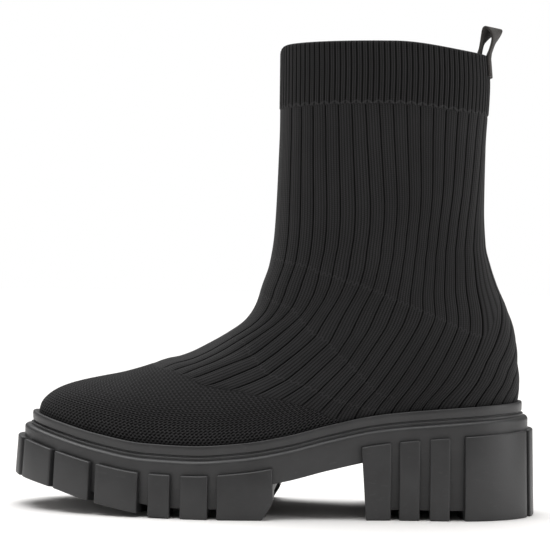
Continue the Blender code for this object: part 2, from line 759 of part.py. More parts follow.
def make_pull_loop(collection, webbing):
    """Webbing loop: one leg inside the collar, one outside, and a fold that turns to the side."""
    leg_gap = 0.5 * UPPER_WALL + LOOP_SPACE + 0.5 * LOOP_WALL
    path = []
    for i in range(5):
        rise = -LOOP_OVERLAP + i / 4 * LOOP_OVERLAP
        path.append((-leg_gap, rise, 0.0))
    for i in range(1, 16):
        turn = math.pi * i / 16
        lean = LOOP_LEAN * math.sin(turn)
        spread = -math.cos(turn) * (leg_gap + (LOOP_BOW - leg_gap) * math.sin(turn))
        path.append((spread + lean, math.sin(turn) ** 0.75 * (LOOP_HEIGHT - LOOP_WALL), math.sin(turn)))
    for i in range(5):
        rise = -i / 4 * LOOP_OVERLAP
        path.append((leg_gap, rise, 0.0))
    bm = bmesh.new()
    rings = []
    for i, (out, rise, twist) in enumerate(path):
        before = path[max(i - 1, 0)]
        after = path[min(i + 1, len(path) - 1)]
        along = np.array((after[0] - before[0], after[1] - before[1]))
        along /= np.linalg.norm(along)
        normal = np.array((-along[1], along[0]))
        angle = math.radians(LOOP_TWIST * twist)
        ring = []
        for across in (-0.5, -0.17, 0.17, 0.5):
            ring.append(loop_corner(out, rise, across, angle, normal, 0.5))
        for across in (0.5, 0.17, -0.17, -0.5):
            ring.append(loop_corner(out, rise, across, angle, normal, -0.5))
        rings.append([bm.verts.new(point) for point in ring])
    bridge(bm, rings)
    bm.faces.new(rings[0])
    bm.faces.new(reversed(rings[-1]))
    return new_object("pull_loop", bm, collection, webbing, 40)


def collar_back_x(y, z):
    """Where the shaft's outer surface lies at its back, at a distance y off the middle."""
    back = float(back_x(z))
    x = np.linspace(back - 0.3 * SHAFT_LENGTH, back, 200)
    width = upper_half_width(x, z, 1)
    return float(np.interp(abs(y), width[::-1], x[::-1]))


def loop_corner(out, rise, across, angle, normal, face):
    """Point on the loop's tape: across its width, on one face; its legs follow the collar's curve."""
    share = angle / math.radians(LOOP_TWIST)
    width = across * LOOP_WIDTH
    depth = out + normal[0] * face * LOOP_WALL
    collar = float(collar_z(SHAFT_BACK))
    height = rise + normal[1] * face * LOOP_WALL
    wall_middle = collar_back_x(width, collar + min(rise, 0.0)) - 0.5 * UPPER_WALL
    middle = collar_back_x(0.0, collar) - 0.5 * UPPER_WALL
    turned_x = middle + depth * math.cos(angle) + width * math.sin(angle)
    turned_y = width * math.cos(angle) - depth * math.sin(angle)
    x = (wall_middle + depth) * (1 - share) + turned_x * share
    y = width * (1 - share) + turned_y * share
    return (x, MIDDLE_Y + y, collar + height)


def main():
    for obj in list(bpy.data.objects):
        bpy.data.objects.remove(obj, do_unlink=True)
    parts = new_collection("platform_ankle_boot")
    cutters = new_collection("platform_ankle_boot_cutters")
    knit = new_material("black_knit", (0.012, 0.012, 0.013), 0.85)
    rubber = new_material("charcoal_rubber", (0.045, 0.045, 0.047), 0.45)
    webbing = new_material("black_webbing", (0.030, 0.028, 0.027), 0.80)
    textile = new_material("insole_textile", (0.020, 0.020, 0.022), 0.90)
    make_upper(parts, knit)
    make_welt(parts, rubber)
    make_midsole(parts, rubber)
    make_outsole(parts, cutters, rubber)
    make_heel(parts, cutters, rubber)
    make_insole(parts, textile)
    make_pull_loop(parts, webbing)


if __name__ == "__main__":
    main()
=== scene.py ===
"""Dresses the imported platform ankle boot: knitted upper, lugged rubber sole, pull loop, inside and stage.

Metres, +Z up. The toe points along -X and the lateral side faces -Y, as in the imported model. The ribs of the
medial side mirror those of the lateral side.
"""
import math
from collections import namedtuple

import bpy
import numpy as np
from bpy.props import FloatProperty, FloatVectorProperty, PointerProperty
from mathutils import Euler, Matrix


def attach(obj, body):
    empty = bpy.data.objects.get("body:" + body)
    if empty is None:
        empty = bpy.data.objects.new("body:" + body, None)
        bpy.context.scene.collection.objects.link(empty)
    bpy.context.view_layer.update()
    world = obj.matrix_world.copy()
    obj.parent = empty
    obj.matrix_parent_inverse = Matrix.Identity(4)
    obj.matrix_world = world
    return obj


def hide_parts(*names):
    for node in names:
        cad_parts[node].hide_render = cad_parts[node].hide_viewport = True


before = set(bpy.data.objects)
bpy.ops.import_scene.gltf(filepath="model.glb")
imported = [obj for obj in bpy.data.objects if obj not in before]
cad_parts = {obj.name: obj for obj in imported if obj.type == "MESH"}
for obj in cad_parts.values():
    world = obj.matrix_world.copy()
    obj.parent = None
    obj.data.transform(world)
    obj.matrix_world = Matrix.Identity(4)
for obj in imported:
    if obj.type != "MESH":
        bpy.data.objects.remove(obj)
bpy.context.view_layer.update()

bl_info = {
    "name": "Knitted platform boot",
    "version": (1, 0, 0),
    "blender": (4, 5, 0),
    "location": "View3D > Sidebar > Boot",
    "description": "Models the knit, the rubber and the trim of a platform ankle boot over its plain solids",
    "category": "Object",
}

# Upper, as the last gives it: the part's own sizes
UPPER_LENGTH = 0.254
BALL_WIDTH = 0.088
HEEL_SEAT_WIDTH = 0.061
INSTEP_HEIGHT = 0.0633
SHAFT_HEIGHT = 0.1447
SHAFT_LENGTH = 0.1085
SHAFT_WIDTH = 0.067
COLLAR_DIP = 0.0042
UPPER_WALL = 0.0020
TOE_SWING = 0.0060
FOOT_SWELL = 0.022 * BALL_WIDTH

# Sole, the part's own sizes
PLATFORM_HEIGHT = 0.0363
HEEL_LIFT = 0.0229
TOE_LIFT = 0.0131
TREAD_SPRING = 0.0171
WELT_HEIGHT = 0.0070
WELT_WIDTH = 0.0030
MIDSOLE_THICKNESS = 0.0158
MIDSOLE_WIDTH = 0.0066
SOLE_FORWARD = 0.14
MIDSOLE_LEDGE = 0.0011
LUG_PROUD = 0.0031
LUG_LEAN = 0.0012
LUG_DROP = 0.0076
LUG_DEPTH = 0.0050
LUG_REACH = 0.0160
FOREPART_END = 0.505
HEEL_START = 0.681
HEEL_RAKE = 0.0026
REAR_CHAMFER = 0.0050
CHAMFER_SLOPE = 1.6
LOOP_WIDTH = 0.0170
LOOP_HEIGHT = 0.0160
LOOP_OVERLAP = 0.0110
LOOP_WALL = 0.0014
LOOP_TWIST = 34.0           # degrees that the top of the loop turns
LOOP_BOW = 0.0042           # half of the loop's opening, front to back
LOOP_LEAN = 0.28 * LOOP_HEIGHT
LOOP_SPACE = 0.00075        # between its legs and the collar's wall
CLEARANCE = 0.0003
TOE_X = -0.1255
MIDDLE_Y = -0.0004

# Side profile of the top of the welt: share of TOE_LIFT and of HEEL_LIFT above the platform
SeatRow = namedtuple("SeatRow", "station toe heel")
SEAT = (
    SeatRow(0.000, 1.000, 0.000),
    SeatRow(0.065, 0.690, 0.000),
    SeatRow(0.137, 0.370, 0.000),
    SeatRow(0.244, 0.055, 0.000),
    SeatRow(0.340, 0.000, 0.000),
    SeatRow(0.445, 0.000, 0.085),
    SeatRow(0.532, 0.000, 0.255),
    SeatRow(0.617, 0.000, 0.500),
    SeatRow(0.715, 0.000, 0.725),
    SeatRow(0.846, 0.000, 0.875),
    SeatRow(1.000, 0.000, 1.000),
)

# Underside of the tread: share of TREAD_SPRING above the floor
TreadRow = namedtuple("TreadRow", "station rise")
TREAD = (
    TreadRow(-0.050, 1.00),
    TreadRow(0.047, 0.72),
    TreadRow(0.135, 0.38),
    TreadRow(0.235, 0.11),
    TreadRow(0.300, 0.00),
    TreadRow(1.100, 0.00),
)

# Footprint: half-widths as shares of BALL_WIDTH, without the rounding of toe and heel
PlanRow = namedtuple("PlanRow", "station lateral medial")
PLAN = (
    PlanRow(0.00, 0.395, 0.400),
    PlanRow(0.15, 0.440, 0.445),
    PlanRow(0.28, 0.478, 0.488),
    PlanRow(0.38, 0.500, 0.492),
    PlanRow(0.48, 0.480, 0.460),
    PlanRow(0.60, 0.430, 0.395),
    PlanRow(0.72, 0.375, 0.360),
    PlanRow(0.85, 0.347, 0.347),
    PlanRow(1.00, 0.347, 0.347),
)
TOE_ROUND = 0.27
HEEL_ROUND = 0.155
TOE_POWER = 2.15
HEEL_POWER = 2.1
FOOT_POWER = 2.35
SHAFT_POWER = 2.15

# Ridge from toe to instep bend: height above the platform as a share of INSTEP_HEIGHT
RidgeRow = namedtuple("RidgeRow", "station rise")
RIDGE = (
    RidgeRow(0.0000, 0.215),
    RidgeRow(0.0050, 0.285),
    RidgeRow(0.0190, 0.350),
    RidgeRow(0.0450, 0.415),
    RidgeRow(0.0790, 0.463),
    RidgeRow(0.1290, 0.510),
    RidgeRow(0.1720, 0.545),
    RidgeRow(0.2140, 0.592),
    RidgeRow(0.2450, 0.632),
    RidgeRow(0.2760, 0.660),
    RidgeRow(0.3185, 0.718),
    RidgeRow(0.3600, 0.802),
    RidgeRow(0.4016, 0.900),
    RidgeRow(0.4350, 1.000),
)

# Front of the shaft above the bend: how far it lies forward of the collar's front
FrontRow = namedtuple("FrontRow", "rise forward")
FRONT = (
    FrontRow(0.055, 0.109),
    FrontRow(0.129, 0.077),
    FrontRow(0.205, 0.043),
    FrontRow(0.312, 0.021),
    FrontRow(0.425, 0.012),
    FrontRow(0.570, 0.005),
    FrontRow(0.720, 0.000),
    FrontRow(1.000, 0.000),
)

# Back, from heel seat to collar: how far it lies behind the collar's back
BackRow = namedtuple("BackRow", "rise behind")
BACK = (
    BackRow(0.000, 0.165),
    BackRow(0.050, 0.174),
    BackRow(0.105, 0.165),
    BackRow(0.160, 0.158),
    BackRow(0.215, 0.140),
    BackRow(0.270, 0.107),
    BackRow(0.330, 0.062),
    BackRow(0.390, 0.027),
    BackRow(0.450, 0.002),
    BackRow(0.560, -0.008),
    BackRow(0.730, -0.005),
    BackRow(0.915, 0.010),
    BackRow(1.000, 0.000),
)

# From the ridge to the full width: a share of SHAFT_LENGTH below the instep bend and above it
DEPTH_BELOW_BEND = 0.42
DEPTH_ABOVE_BEND = 0.50
BEND_BLEND = (-0.015, 0.020)

# Half-width of ankle and shaft, as a share of SHAFT_WIDTH
LegRow = namedtuple("LegRow", "rise half_width")
LEG = (
    LegRow(0.00, 0.450),
    LegRow(0.15, 0.470),
    LegRow(0.30, 0.462),
    LegRow(0.45, 0.452),
    LegRow(0.62, 0.470),
    LegRow(0.80, 0.492),
    LegRow(1.00, 0.500),
)

# Lugs along one side, from and to, as shares of the upper's length
LugRow = namedtuple("LugRow", "start end")
FOREPART_LUGS = (
    LugRow(0.0620, 0.1370),
    LugRow(0.1500, 0.2370),
    LugRow(0.2560, 0.3005),
    LugRow(0.3215, 0.3770),
    LugRow(0.3950, FOREPART_END),
)
HEEL_LUGS = (
    LugRow(HEEL_START, 0.7405),
    LugRow(0.7570, 0.7980),
    LugRow(0.8180, 0.8580),
)
TOE_LUG_HALF = 0.0150
TOE_SIDE_LUG = (0.0185, 0.0400)
BACK_LUG_HALF = 0.0130
BACK_SIDE_LUG = (0.0165, 0.0545)

# Course of the ribs over the upper. A place is (turn, level): turn 0 on the front ridge to 1 on the back
# line, level 0 at the sole to 1 at the collar. The three kinks are the lines on which the knit was shaped.
CUFF_LEVEL = 0.884
FIRST_RIB = 0.34
BACK_RIB = 20.5
LAST_RIB = 25.0
FlowRow = namedtuple("FlowRow", "rib start kink_1 kink_2 kink_3 end")
FLOW = (
    FlowRow(FIRST_RIB, (0.000, CUFF_LEVEL), (0.000, 0.612), (0.000, 0.545), (0.000, 0.440), (0.000, 0.279)),
    FlowRow(4.0, (0.183, CUFF_LEVEL), (0.190, 0.575), (0.177, 0.496), (0.158, 0.392), (0.150, 0.252)),
    FlowRow(5.0, (0.233, CUFF_LEVEL), (0.250, 0.558), (0.236, 0.475), (0.210, 0.371), (0.190, 0.240)),
    FlowRow(6.0, (0.283, CUFF_LEVEL), (0.310, 0.533), (0.312, 0.425), (0.285, 0.314), (0.230, 0.225)),
    FlowRow(7.0, (0.333, CUFF_LEVEL), (0.367, 0.512), (0.382, 0.376), (0.350, 0.258), (0.290, 0.197)),
    FlowRow(8.0, (0.383, CUFF_LEVEL), (0.432, 0.483), (0.450, 0.321), (0.405, 0.216), (0.357, 0.175)),
    FlowRow(9.0, (0.433, CUFF_LEVEL), (0.500, 0.448), (0.506, 0.271), (0.462, 0.183), (0.425, 0.148)),
    FlowRow(10.0, (0.483, CUFF_LEVEL), (0.560, 0.413), (0.549, 0.229), (0.513, 0.153), (0.485, 0.123)),
    FlowRow(12.0, (0.583, CUFF_LEVEL), (0.652, 0.358), (0.617, 0.159), (0.594, 0.095), (0.582, 0.066)),
    FlowRow(14.0, (0.683, CUFF_LEVEL), (0.725, 0.312), (0.673, 0.096), (0.660, 0.058), (0.650, 0.020)),
    FlowRow(15.0, (0.733, CUFF_LEVEL), (0.755, 0.292), (0.701, 0.076), (0.692, 0.045), (0.684, 0.020)),
    FlowRow(16.0, (0.783, CUFF_LEVEL), (0.782, 0.274), (0.730, 0.075), (0.721, 0.042), (0.715, 0.020)),
    FlowRow(17.0, (0.833, CUFF_LEVEL), (0.810, 0.255), (0.764, 0.086), (0.753, 0.046), (0.746, 0.020)),
    FlowRow(18.0, (0.883, CUFF_LEVEL), (0.838, 0.238), (0.793, 0.098), (0.777, 0.051), (0.769, 0.020)),
    FlowRow(19.0, (0.933, CUFF_LEVEL), (0.868, 0.226), (0.829, 0.112), (0.807, 0.058), (0.796, 0.020)),
    FlowRow(20.0, (0.983, CUFF_LEVEL), (0.968, 0.335), (0.876, 0.155), (0.850, 0.078), (0.832, 0.020)),
    FlowRow(BACK_RIB, (1.000, CUFF_LEVEL), (1.000, 0.330), (0.893, 0.155), (0.866, 0.080), (0.848, 0.020)),
    FlowRow(21.0, (1.000, CUFF_LEVEL), (1.000, 0.292), (0.908, 0.150), (0.879, 0.080), (0.862, 0.020)),
    FlowRow(22.0, (1.000, CUFF_LEVEL), (1.000, 0.210), (0.930, 0.125), (0.907, 0.070), (0.892, 0.020)),
    FlowRow(23.0, (1.000, CUFF_LEVEL), (1.000, 0.150), (0.949, 0.100), (0.931, 0.060), (0.917, 0.020)),
    FlowRow(24.0, (1.000, CUFF_LEVEL), (1.000, 0.090), (0.975, 0.065), (0.960, 0.042), (0.947, 0.020)),
    FlowRow(LAST_RIB, (1.000, CUFF_LEVEL), (1.000, 0.022), (0.999, 0.021), (0.998, 0.020), (0.997, 0.019)),
)
ROWS_BETWEEN = (64, 34, 26, 26)
# Where the columns of one rib stand, close together beside its groove
COLUMNS_IN_RIB = (0.0, 0.035, 0.075, 0.13, 0.22, 0.35, 0.5, 0.65, 0.78, 0.87, 0.925, 0.965)
SMOOTH_FRONT_RIBS = 3.4     # the ribs nearest to the front ridge have no groove

# Soft creases of the knit, each from and to a place (turn, level), with its half-width and depth
CreaseRow = namedtuple("CreaseRow", "start end half_width depth")
CREASES = (
    CreaseRow((0.00, 0.500), (0.34, 0.440), 0.0075, -0.0007),
    CreaseRow((0.02, 0.435), (0.30, 0.370), 0.0065, 0.0004),
    CreaseRow((0.06, 0.350), (0.38, 0.270), 0.0070, -0.0005),
    CreaseRow((0.72, 0.330), (1.00, 0.380), 0.0080, -0.0006),
    CreaseRow((0.55, 0.560), (0.95, 0.610), 0.0100, 0.0005),
    CreaseRow((0.15, 0.700), (0.60, 0.660), 0.0110, -0.0005),
    CreaseRow((0.00, 0.292), (0.16, 0.268), 0.0050, 0.0007),
)

# Pitch of the surface table on which every knitted piece is laid
TABLE_LEVELS = 300
TABLE_AROUND = 480
BACK_TRIES = 3              # a ring's height and its back point depend on each other
NORMAL_SPAN = 0.0015        # length of the sole's edge over which its direction is taken
OUTLINE_SAMPLES = 6000
SWEEP_STEPS = 180           # pieces of a band on each side of the boot
ARCH_STEPS = 48
ARCH_POWER = 0.75           # 1 is a pointed arch of the pull loop, and less is fuller

# How the pieces lie on the surface and in one another
FOOT_LEVEL = 0.004          # level at which toe mesh and lining start, inside the welt
MESH_TURN = 0.652           # how far round the toe mesh reaches
MESH_LAP = 0.0035           # levels by which it runs in under the ribs
MESH_SINK = 0.0006          # how far it lies below them there
RIM_LEVEL = 0.9965          # top of the cuff's outer face
RIM_DIP = 0.009             # how much lower it is at the front ridge
CUFF_LAP = 0.0045           # levels by which the cuff reaches down over the ribs
CUFF_LIFT = 0.00035         # how far it stands out from them
INNER_LEVEL = 0.90          # lowest level of the cuff's inner face
FAR_FROM_KINK = 0.05        # stands in the kink map for no kink near by
PLATE_LAP = 0.0012          # how far the tread's plates run up into the midsole
PLATE_PROUD = 0.00003       # and how far they stand out from its side

# Camera that took the photograph, level but for a slight roll; degrees
CAMERA_PLACE = (0.0524, -0.9986, 0.1237)
CAMERA_TURN = 3.0
CAMERA_ROLL = 0.75
FOCAL_PIXELS = 1884.0
PHOTO_PIXELS = 550.0


class BootSizes(bpy.types.PropertyGroup):
    """Sizes of the knit and of the rubber's edges."""
    groove_depth: FloatProperty(name="Groove depth", description="Depth of the grooves between the ribs",
                                default=0.0009, min=0.0, max=0.002, unit="LENGTH")
    rib_crown: FloatProperty(name="Rib crown", description="How far the middle of a rib stands out",
                             default=0.0004, min=0.0, max=0.001, unit="LENGTH")
    cuff_ribs: FloatProperty(name="Cuff ribs", description="Fine ribs of the cuff on each side of the boot",
                             default=50.0, min=30.0, max=70.0)
    cuff_rib_depth: FloatProperty(name="Cuff rib depth", description="Depth between the cuff's fine ribs",
                                  default=0.0010, min=0.0, max=0.0015, unit="LENGTH")
    stitch: FloatProperty(name="Stitch", description="Height of one knitted stitch",
                          default=0.00105, min=0.0005, max=0.002, unit="LENGTH")
    hole_pitch: FloatProperty(name="Hole pitch", description="Distance between the toe's holes along a row",
                              default=0.00225, min=0.0015, max=0.006, unit="LENGTH")
    row_pitch: FloatProperty(name="Hole row pitch", description="Distance between two rows of holes",
                             default=0.00155, min=0.001, max=0.004, unit="LENGTH")
    edge_round: FloatProperty(name="Edge rounding", description="Rounding of the lugs' moulded edges",
                              default=0.0008, min=0.0002, max=0.0015, unit="LENGTH")


class BootColours(bpy.types.PropertyGroup):
    """Colours of the boot's materials."""
    yarn: FloatVectorProperty(name="Yarn", description="Colour of the upper's yarn", subtype="COLOR",
                              default=(0.0124, 0.0122, 0.0127), min=0.0, max=1.0)
    rubber: FloatVectorProperty(name="Rubber", description="Colour of the sole", subtype="COLOR",
                                default=(0.030, 0.030, 0.031), min=0.0, max=1.0)
    webbing: FloatVectorProperty(name="Webbing", description="Colour of the pull loop", subtype="COLOR",
                                 default=(0.034, 0.031, 0.029), min=0.0, max=1.0)
    lining: FloatVectorProperty(name="Lining", description="Colour of lining and insole", subtype="COLOR",
                                default=(0.018, 0.018, 0.019), min=0.0, max=1.0)


def smooth_curve(rows):
    """Function through (at, value) rows that bends without overshooting and runs on straight."""
    at = np.array([row[0] for row in rows])
    value = np.array([row[1] for row in rows])
    step = np.diff(at)
    slope = np.diff(value) / step
    tangent = np.empty_like(value)
    tangent[0] = slope[0]
    tangent[-1] = slope[-1]
    for i in range(1, len(at) - 1):
        same_way = slope[i - 1] * slope[i] > 0
        tangent[i] = 2 * slope[i - 1] * slope[i] / (slope[i - 1] + slope[i]) if same_way else 0.0

    def curve(where):
        where = np.asarray(where, dtype=float)
        i = np.clip(np.searchsorted(at, where) - 1, 0, len(step) - 1)
        t = np.clip((where - at[i]) / step[i], 0.0, 1.0)
        inside = (value[i] * (2 * t**3 - 3 * t**2 + 1) + value[i + 1] * (3 * t**2 - 2 * t**3)
                  + step[i] * (tangent[i] * (t**3 - 2 * t**2 + t) + tangent[i + 1] * (t**3 - t**2)))
        before = np.minimum(where - at[0], 0.0) * tangent[0]
        after = np.maximum(where - at[-1], 0.0) * tangent[-1]
        return inside + before + after
    return curve


def ease(value, low, high):
    """0 below low, 1 above high, and a soft step between."""
    t = np.clip((value - low) / (high - low), 0.0, 1.0)
    return t * t * (3 - 2 * t)


def station_x(station):
    return TOE_X + station * UPPER_LENGTH


welt_top = smooth_curve([(station_x(r.station), PLATFORM_HEIGHT + r.toe * TOE_LIFT + r.heel * HEEL_LIFT)
                         for r in SEAT])
tread_bottom = smooth_curve([(station_x(r.station), r.rise * TREAD_SPRING) for r in TREAD])
plan_side = {
    -1: smooth_curve([(station_x(r.station), r.lateral * BALL_WIDTH) for r in PLAN]),
    1: smooth_curve([(station_x(r.station), r.medial * BALL_WIDTH) for r in PLAN]),
}


def midsole_top(x):
    return welt_top(x) - WELT_HEIGHT


def midsole_bottom(x):
    return midsole_top(x) - MIDSOLE_THICKNESS


def lug_top(x):
    return midsole_top(x) - LUG_DROP


def toe_closure(x):
    """1 behind the rounded toe, 0 at its tip."""
    t = np.clip(1 - (x - TOE_X) / (TOE_ROUND * UPPER_LENGTH), 0.0, 1.0)
    return np.maximum(1 - t**TOE_POWER, 0.0) ** (1 / TOE_POWER)


def swing(x):
    """The last's middle line, which bends to the medial side towards the toe."""
    return MIDDLE_Y + TOE_SWING * (1 - ease(x, TOE_X, station_x(0.42)))


def heel_closure(x, back):
    t = np.clip(1 - (back - x) / (HEEL_ROUND * UPPER_LENGTH), 0.0, 1.0)
    return np.maximum(1 - t**HEEL_POWER, 0.0) ** (1 / HEEL_POWER)


def plan_width(x, side):
    heel_share = ease(x, station_x(0.62), station_x(0.86))
    return plan_side[side](x) * (1 - heel_share) + 0.5 * HEEL_SEAT_WIDTH * heel_share


def footprint_y(x, side):
    width = plan_width(x, side) * toe_closure(x) * heel_closure(x, station_x(1.0))
    return swing(x) + side * width


def outline(offset, steps):
    """Closed plan outline: toe tip, lateral side, heel, medial side; offset outwards."""
    turn = np.linspace(0.0, math.pi, OUTLINE_SAMPLES)
    x = TOE_X + UPPER_LENGTH * 0.5 * (1 - np.cos(turn))
    lateral = np.column_stack((x, footprint_y(x, -1)))
    medial = np.column_stack((x, footprint_y(x, 1)))[::-1]
    loop = np.vstack((lateral, medial[1:-1]))
    ahead = np.roll(loop, -1, axis=0) - np.roll(loop, 1, axis=0)
    normal = np.column_stack((ahead[:, 1], -ahead[:, 0]))
    normal /= np.linalg.norm(normal, axis=1)[:, None]
    loop = loop + offset * (normal - (SOLE_FORWARD * (offset > 0), 0.0))
    half = len(lateral)
    sides = []
    for run in (loop[:half], np.vstack((loop[half - 1:], loop[:1]))):
        length = np.concatenate(((0.0,), np.cumsum(np.linalg.norm(np.diff(run, axis=0), axis=1))))
        even = np.linspace(0.0, length[-1], steps + 1)
        sides.append(np.column_stack([np.interp(even, length, run[:, k]) for k in (0, 1)]))
    return np.vstack((sides[0], sides[1][1:-1]))


class EdgeLine:
    """One side of the midsole's outline, read by the distance along it."""

    def __init__(self, side, from_heel=False):
        fine = outline(MIDSOLE_WIDTH, 400)
        half = len(fine) // 2
        run = fine[:half + 1] if side < 0 else np.vstack((fine[:1], fine[half:][::-1]))
        self.points = run[::-1] if from_heel else run
        gaps = np.linalg.norm(np.diff(self.points, axis=0), axis=1)
        self.length = np.concatenate(((0.0,), np.cumsum(gaps)))
        self.turn = -side if from_heel else side

    def at_x(self, x):
        order = np.argsort(self.points[:, 0])
        return float(np.interp(x, self.points[order, 0], self.length[order]))

    def place(self, distance):
        """Point at a distance from the tip, and the outward normal there."""
        point = np.array([np.interp(abs(distance), self.length, self.points[:, k]) for k in (0, 1)])
        near = max(abs(distance) - NORMAL_SPAN, 0.0)
        ends = [np.array([np.interp(d, self.length, self.points[:, k]) for k in (0, 1)])
                for d in (near, abs(distance) + NORMAL_SPAN)]
        along = ends[1] - ends[0]
        normal = np.array((-along[1], along[0])) * self.turn
        return point, normal / np.linalg.norm(normal)


COLLAR_Z = PLATFORM_HEIGHT + INSTEP_HEIGHT + SHAFT_HEIGHT
BEND_Z = PLATFORM_HEIGHT + INSTEP_HEIGHT
HEEL_SEAT_Z = PLATFORM_HEIGHT + HEEL_LIFT
SHAFT_BACK = station_x(1.0) - BACK[0].behind * SHAFT_LENGTH
SHAFT_FRONT = SHAFT_BACK - SHAFT_LENGTH


def front_points():
    rows = [(station_x(r.station), PLATFORM_HEIGHT + r.rise * INSTEP_HEIGHT) for r in RIDGE]
    for r in FRONT:
        rows.append((SHAFT_FRONT - r.forward * SHAFT_LENGTH, BEND_Z + r.rise * SHAFT_HEIGHT))
    return rows


def dense_line(rows, count=1200):
    """Smooth line through (x, z) rows, as evenly spaced points."""
    rows = np.array(rows)
    chord = np.concatenate(((0.0,), np.cumsum(np.linalg.norm(np.diff(rows, axis=0), axis=1))))
    at = np.linspace(0.0, chord[-1], count)
    return np.column_stack([smooth_curve(list(zip(chord, rows[:, k])))(at) for k in (0, 1)])


ridge_line = dense_line([(TOE_X, midsole_top(TOE_X) + CLEARANCE)] + front_points())
ridge_line[:, 0] = np.maximum.accumulate(ridge_line[:, 0])
ridge_way = np.gradient(ridge_line, axis=0)
ridge_way /= np.linalg.norm(ridge_way, axis=1)[:, None]
back_curve = smooth_curve([(HEEL_SEAT_Z + r.rise * (COLLAR_Z - COLLAR_DIP - HEEL_SEAT_Z),
                            SHAFT_BACK + r.behind * SHAFT_LENGTH) for r in BACK])
leg_curve = smooth_curve([(HEEL_SEAT_Z + r.rise * (COLLAR_Z - HEEL_SEAT_Z), r.half_width * SHAFT_WIDTH)
                          for r in LEG])


def back_x(z):
    return back_curve(np.maximum(z, HEEL_SEAT_Z))


def ridge_z(x):
    nudge = np.arange(len(ridge_line)) * 1e-9
    return np.interp(x, ridge_line[:, 0] + nudge, ridge_line[:, 1])


def ridge_distance(x, z):
    """Distance in the side view to the ridge, and the height of its nearest point."""
    across = x.reshape(-1, 1) - ridge_line[None, ::3, 0]
    upward = z.reshape(-1, 1) - ridge_line[None, ::3, 1]
    nearest = np.hypot(across, upward).argmin(axis=1)
    row = np.arange(len(nearest))
    way = ridge_way[::3][nearest]
    gap = np.abs(across[row, nearest] * way[:, 1] - upward[row, nearest] * way[:, 0])
    return gap.reshape(x.shape), ridge_line[::3, 1][nearest].reshape(x.shape)


def upper_half_width(x, z, side):
    """Half-width of the upper at a point of its side view, as in the part's source."""
    seat = welt_top(x)
    height = z - seat
    leg_share = (ease(height, 0.18 * INSTEP_HEIGHT, 0.95 * INSTEP_HEIGHT)
                 * ease(x, station_x(0.36), station_x(0.5)))
    swell = FOOT_SWELL * np.sin(np.clip(height / (0.55 * INSTEP_HEIGHT), 0.0, 1.0) * math.pi) ** 2
    foot = plan_width(x, side) * toe_closure(x) + swell * toe_closure(x)
    broad = foot * (1 - leg_share) + leg_curve(z) * leg_share

    across = np.clip(height / np.maximum(ridge_z(x) - seat, 1e-6), 0.0, 1.0)
    gap, nearest_z = ridge_distance(x, z)
    above_bend = ease(nearest_z, BEND_Z + BEND_BLEND[0], BEND_Z + BEND_BLEND[1])
    depth = SHAFT_LENGTH * (DEPTH_BELOW_BEND + (DEPTH_ABOVE_BEND - DEPTH_BELOW_BEND) * above_bend)
    inward = np.clip(1 - gap / depth, 0.0, 1.0)
    shaft_share = ease(x, station_x(0.28), station_x(0.42))
    toward_ridge = across * (1 - shaft_share) + inward * shaft_share
    power = FOOT_POWER * (1 - shaft_share) + SHAFT_POWER * shaft_share
    front_close = np.maximum(1 - toward_ridge**power, 0.0) ** (1 / power)

    middle = 0.5 * (SHAFT_FRONT + SHAFT_BACK)
    ankle_share = ease(z, HEEL_SEAT_Z, BEND_Z + 0.25 * SHAFT_HEIGHT)
    rear = back_x(z)
    start = (rear - HEEL_ROUND * UPPER_LENGTH) * (1 - ankle_share) + middle * ankle_share
    toward_back = np.clip((x - start) / (rear - start), 0.0, 1.0)
    back_close = np.maximum(1 - toward_back**HEEL_POWER, 0.0) ** (1 / HEEL_POWER)
    return broad * front_close * back_close


def collar_z(x):
    return COLLAR_Z - COLLAR_DIP * ease(x, SHAFT_FRONT + 0.55 * SHAFT_LENGTH, SHAFT_BACK)


def upper_ring(share, columns, samples=600):
    """One level of the upper: 0 at the sole, 1 at the collar; toe, lateral side, heel, medial side."""
    front = np.array([np.interp(share * (len(ridge_line) - 1), np.arange(len(ridge_line)), ridge_line[:, k])
                      for k in (0, 1)])
    low = midsole_top(station_x(1.0)) + CLEARANCE
    rear_z = low + share * (COLLAR_Z - COLLAR_DIP - low)
    rear_x = float(back_x(rear_z))
    turn = np.linspace(0.0, math.pi, samples)
    front_rise = front[1] - (midsole_top(front[0]) + CLEARANCE)
    shaft_share = ease(share, 0.55, 1.0)
    for _ in range(BACK_TRIES):
        x = front[0] + (rear_x - front[0]) * 0.5 * (1 - np.cos(turn))
        base = midsole_top(x) + CLEARANCE
        rear_rise = rear_z - (midsole_top(rear_x) + CLEARANCE)
        across = ease(x, front[0], rear_x)
        rising = base + front_rise * (1 - across) + rear_rise * across
        z = rising * (1 - shaft_share) + (collar_z(x) - (COLLAR_Z - front[1])) * shaft_share
        rear_x = float(back_x(z[-1]))
    runs = []
    for side in (-1, 1):
        rising_share = ease(z - welt_top(x), 0.0, INSTEP_HEIGHT)
        middle_y = swing(x) * (1 - rising_share) + MIDDLE_Y * rising_share
        half_width = upper_half_width(x, z, side)
        half_width[-1] = 0.0
        run = np.column_stack((x, middle_y + side * half_width, z))
        length = np.concatenate(((0.0,), np.cumsum(np.linalg.norm(np.diff(run, axis=0), axis=1))))
        even = np.linspace(0.0, length[-1], columns // 2 + 1)
        runs.append(np.column_stack([np.interp(even, length, run[:, k]) for k in (0, 1, 2)]))
    return np.vstack((runs[0], runs[1][::-1][1:-1]))


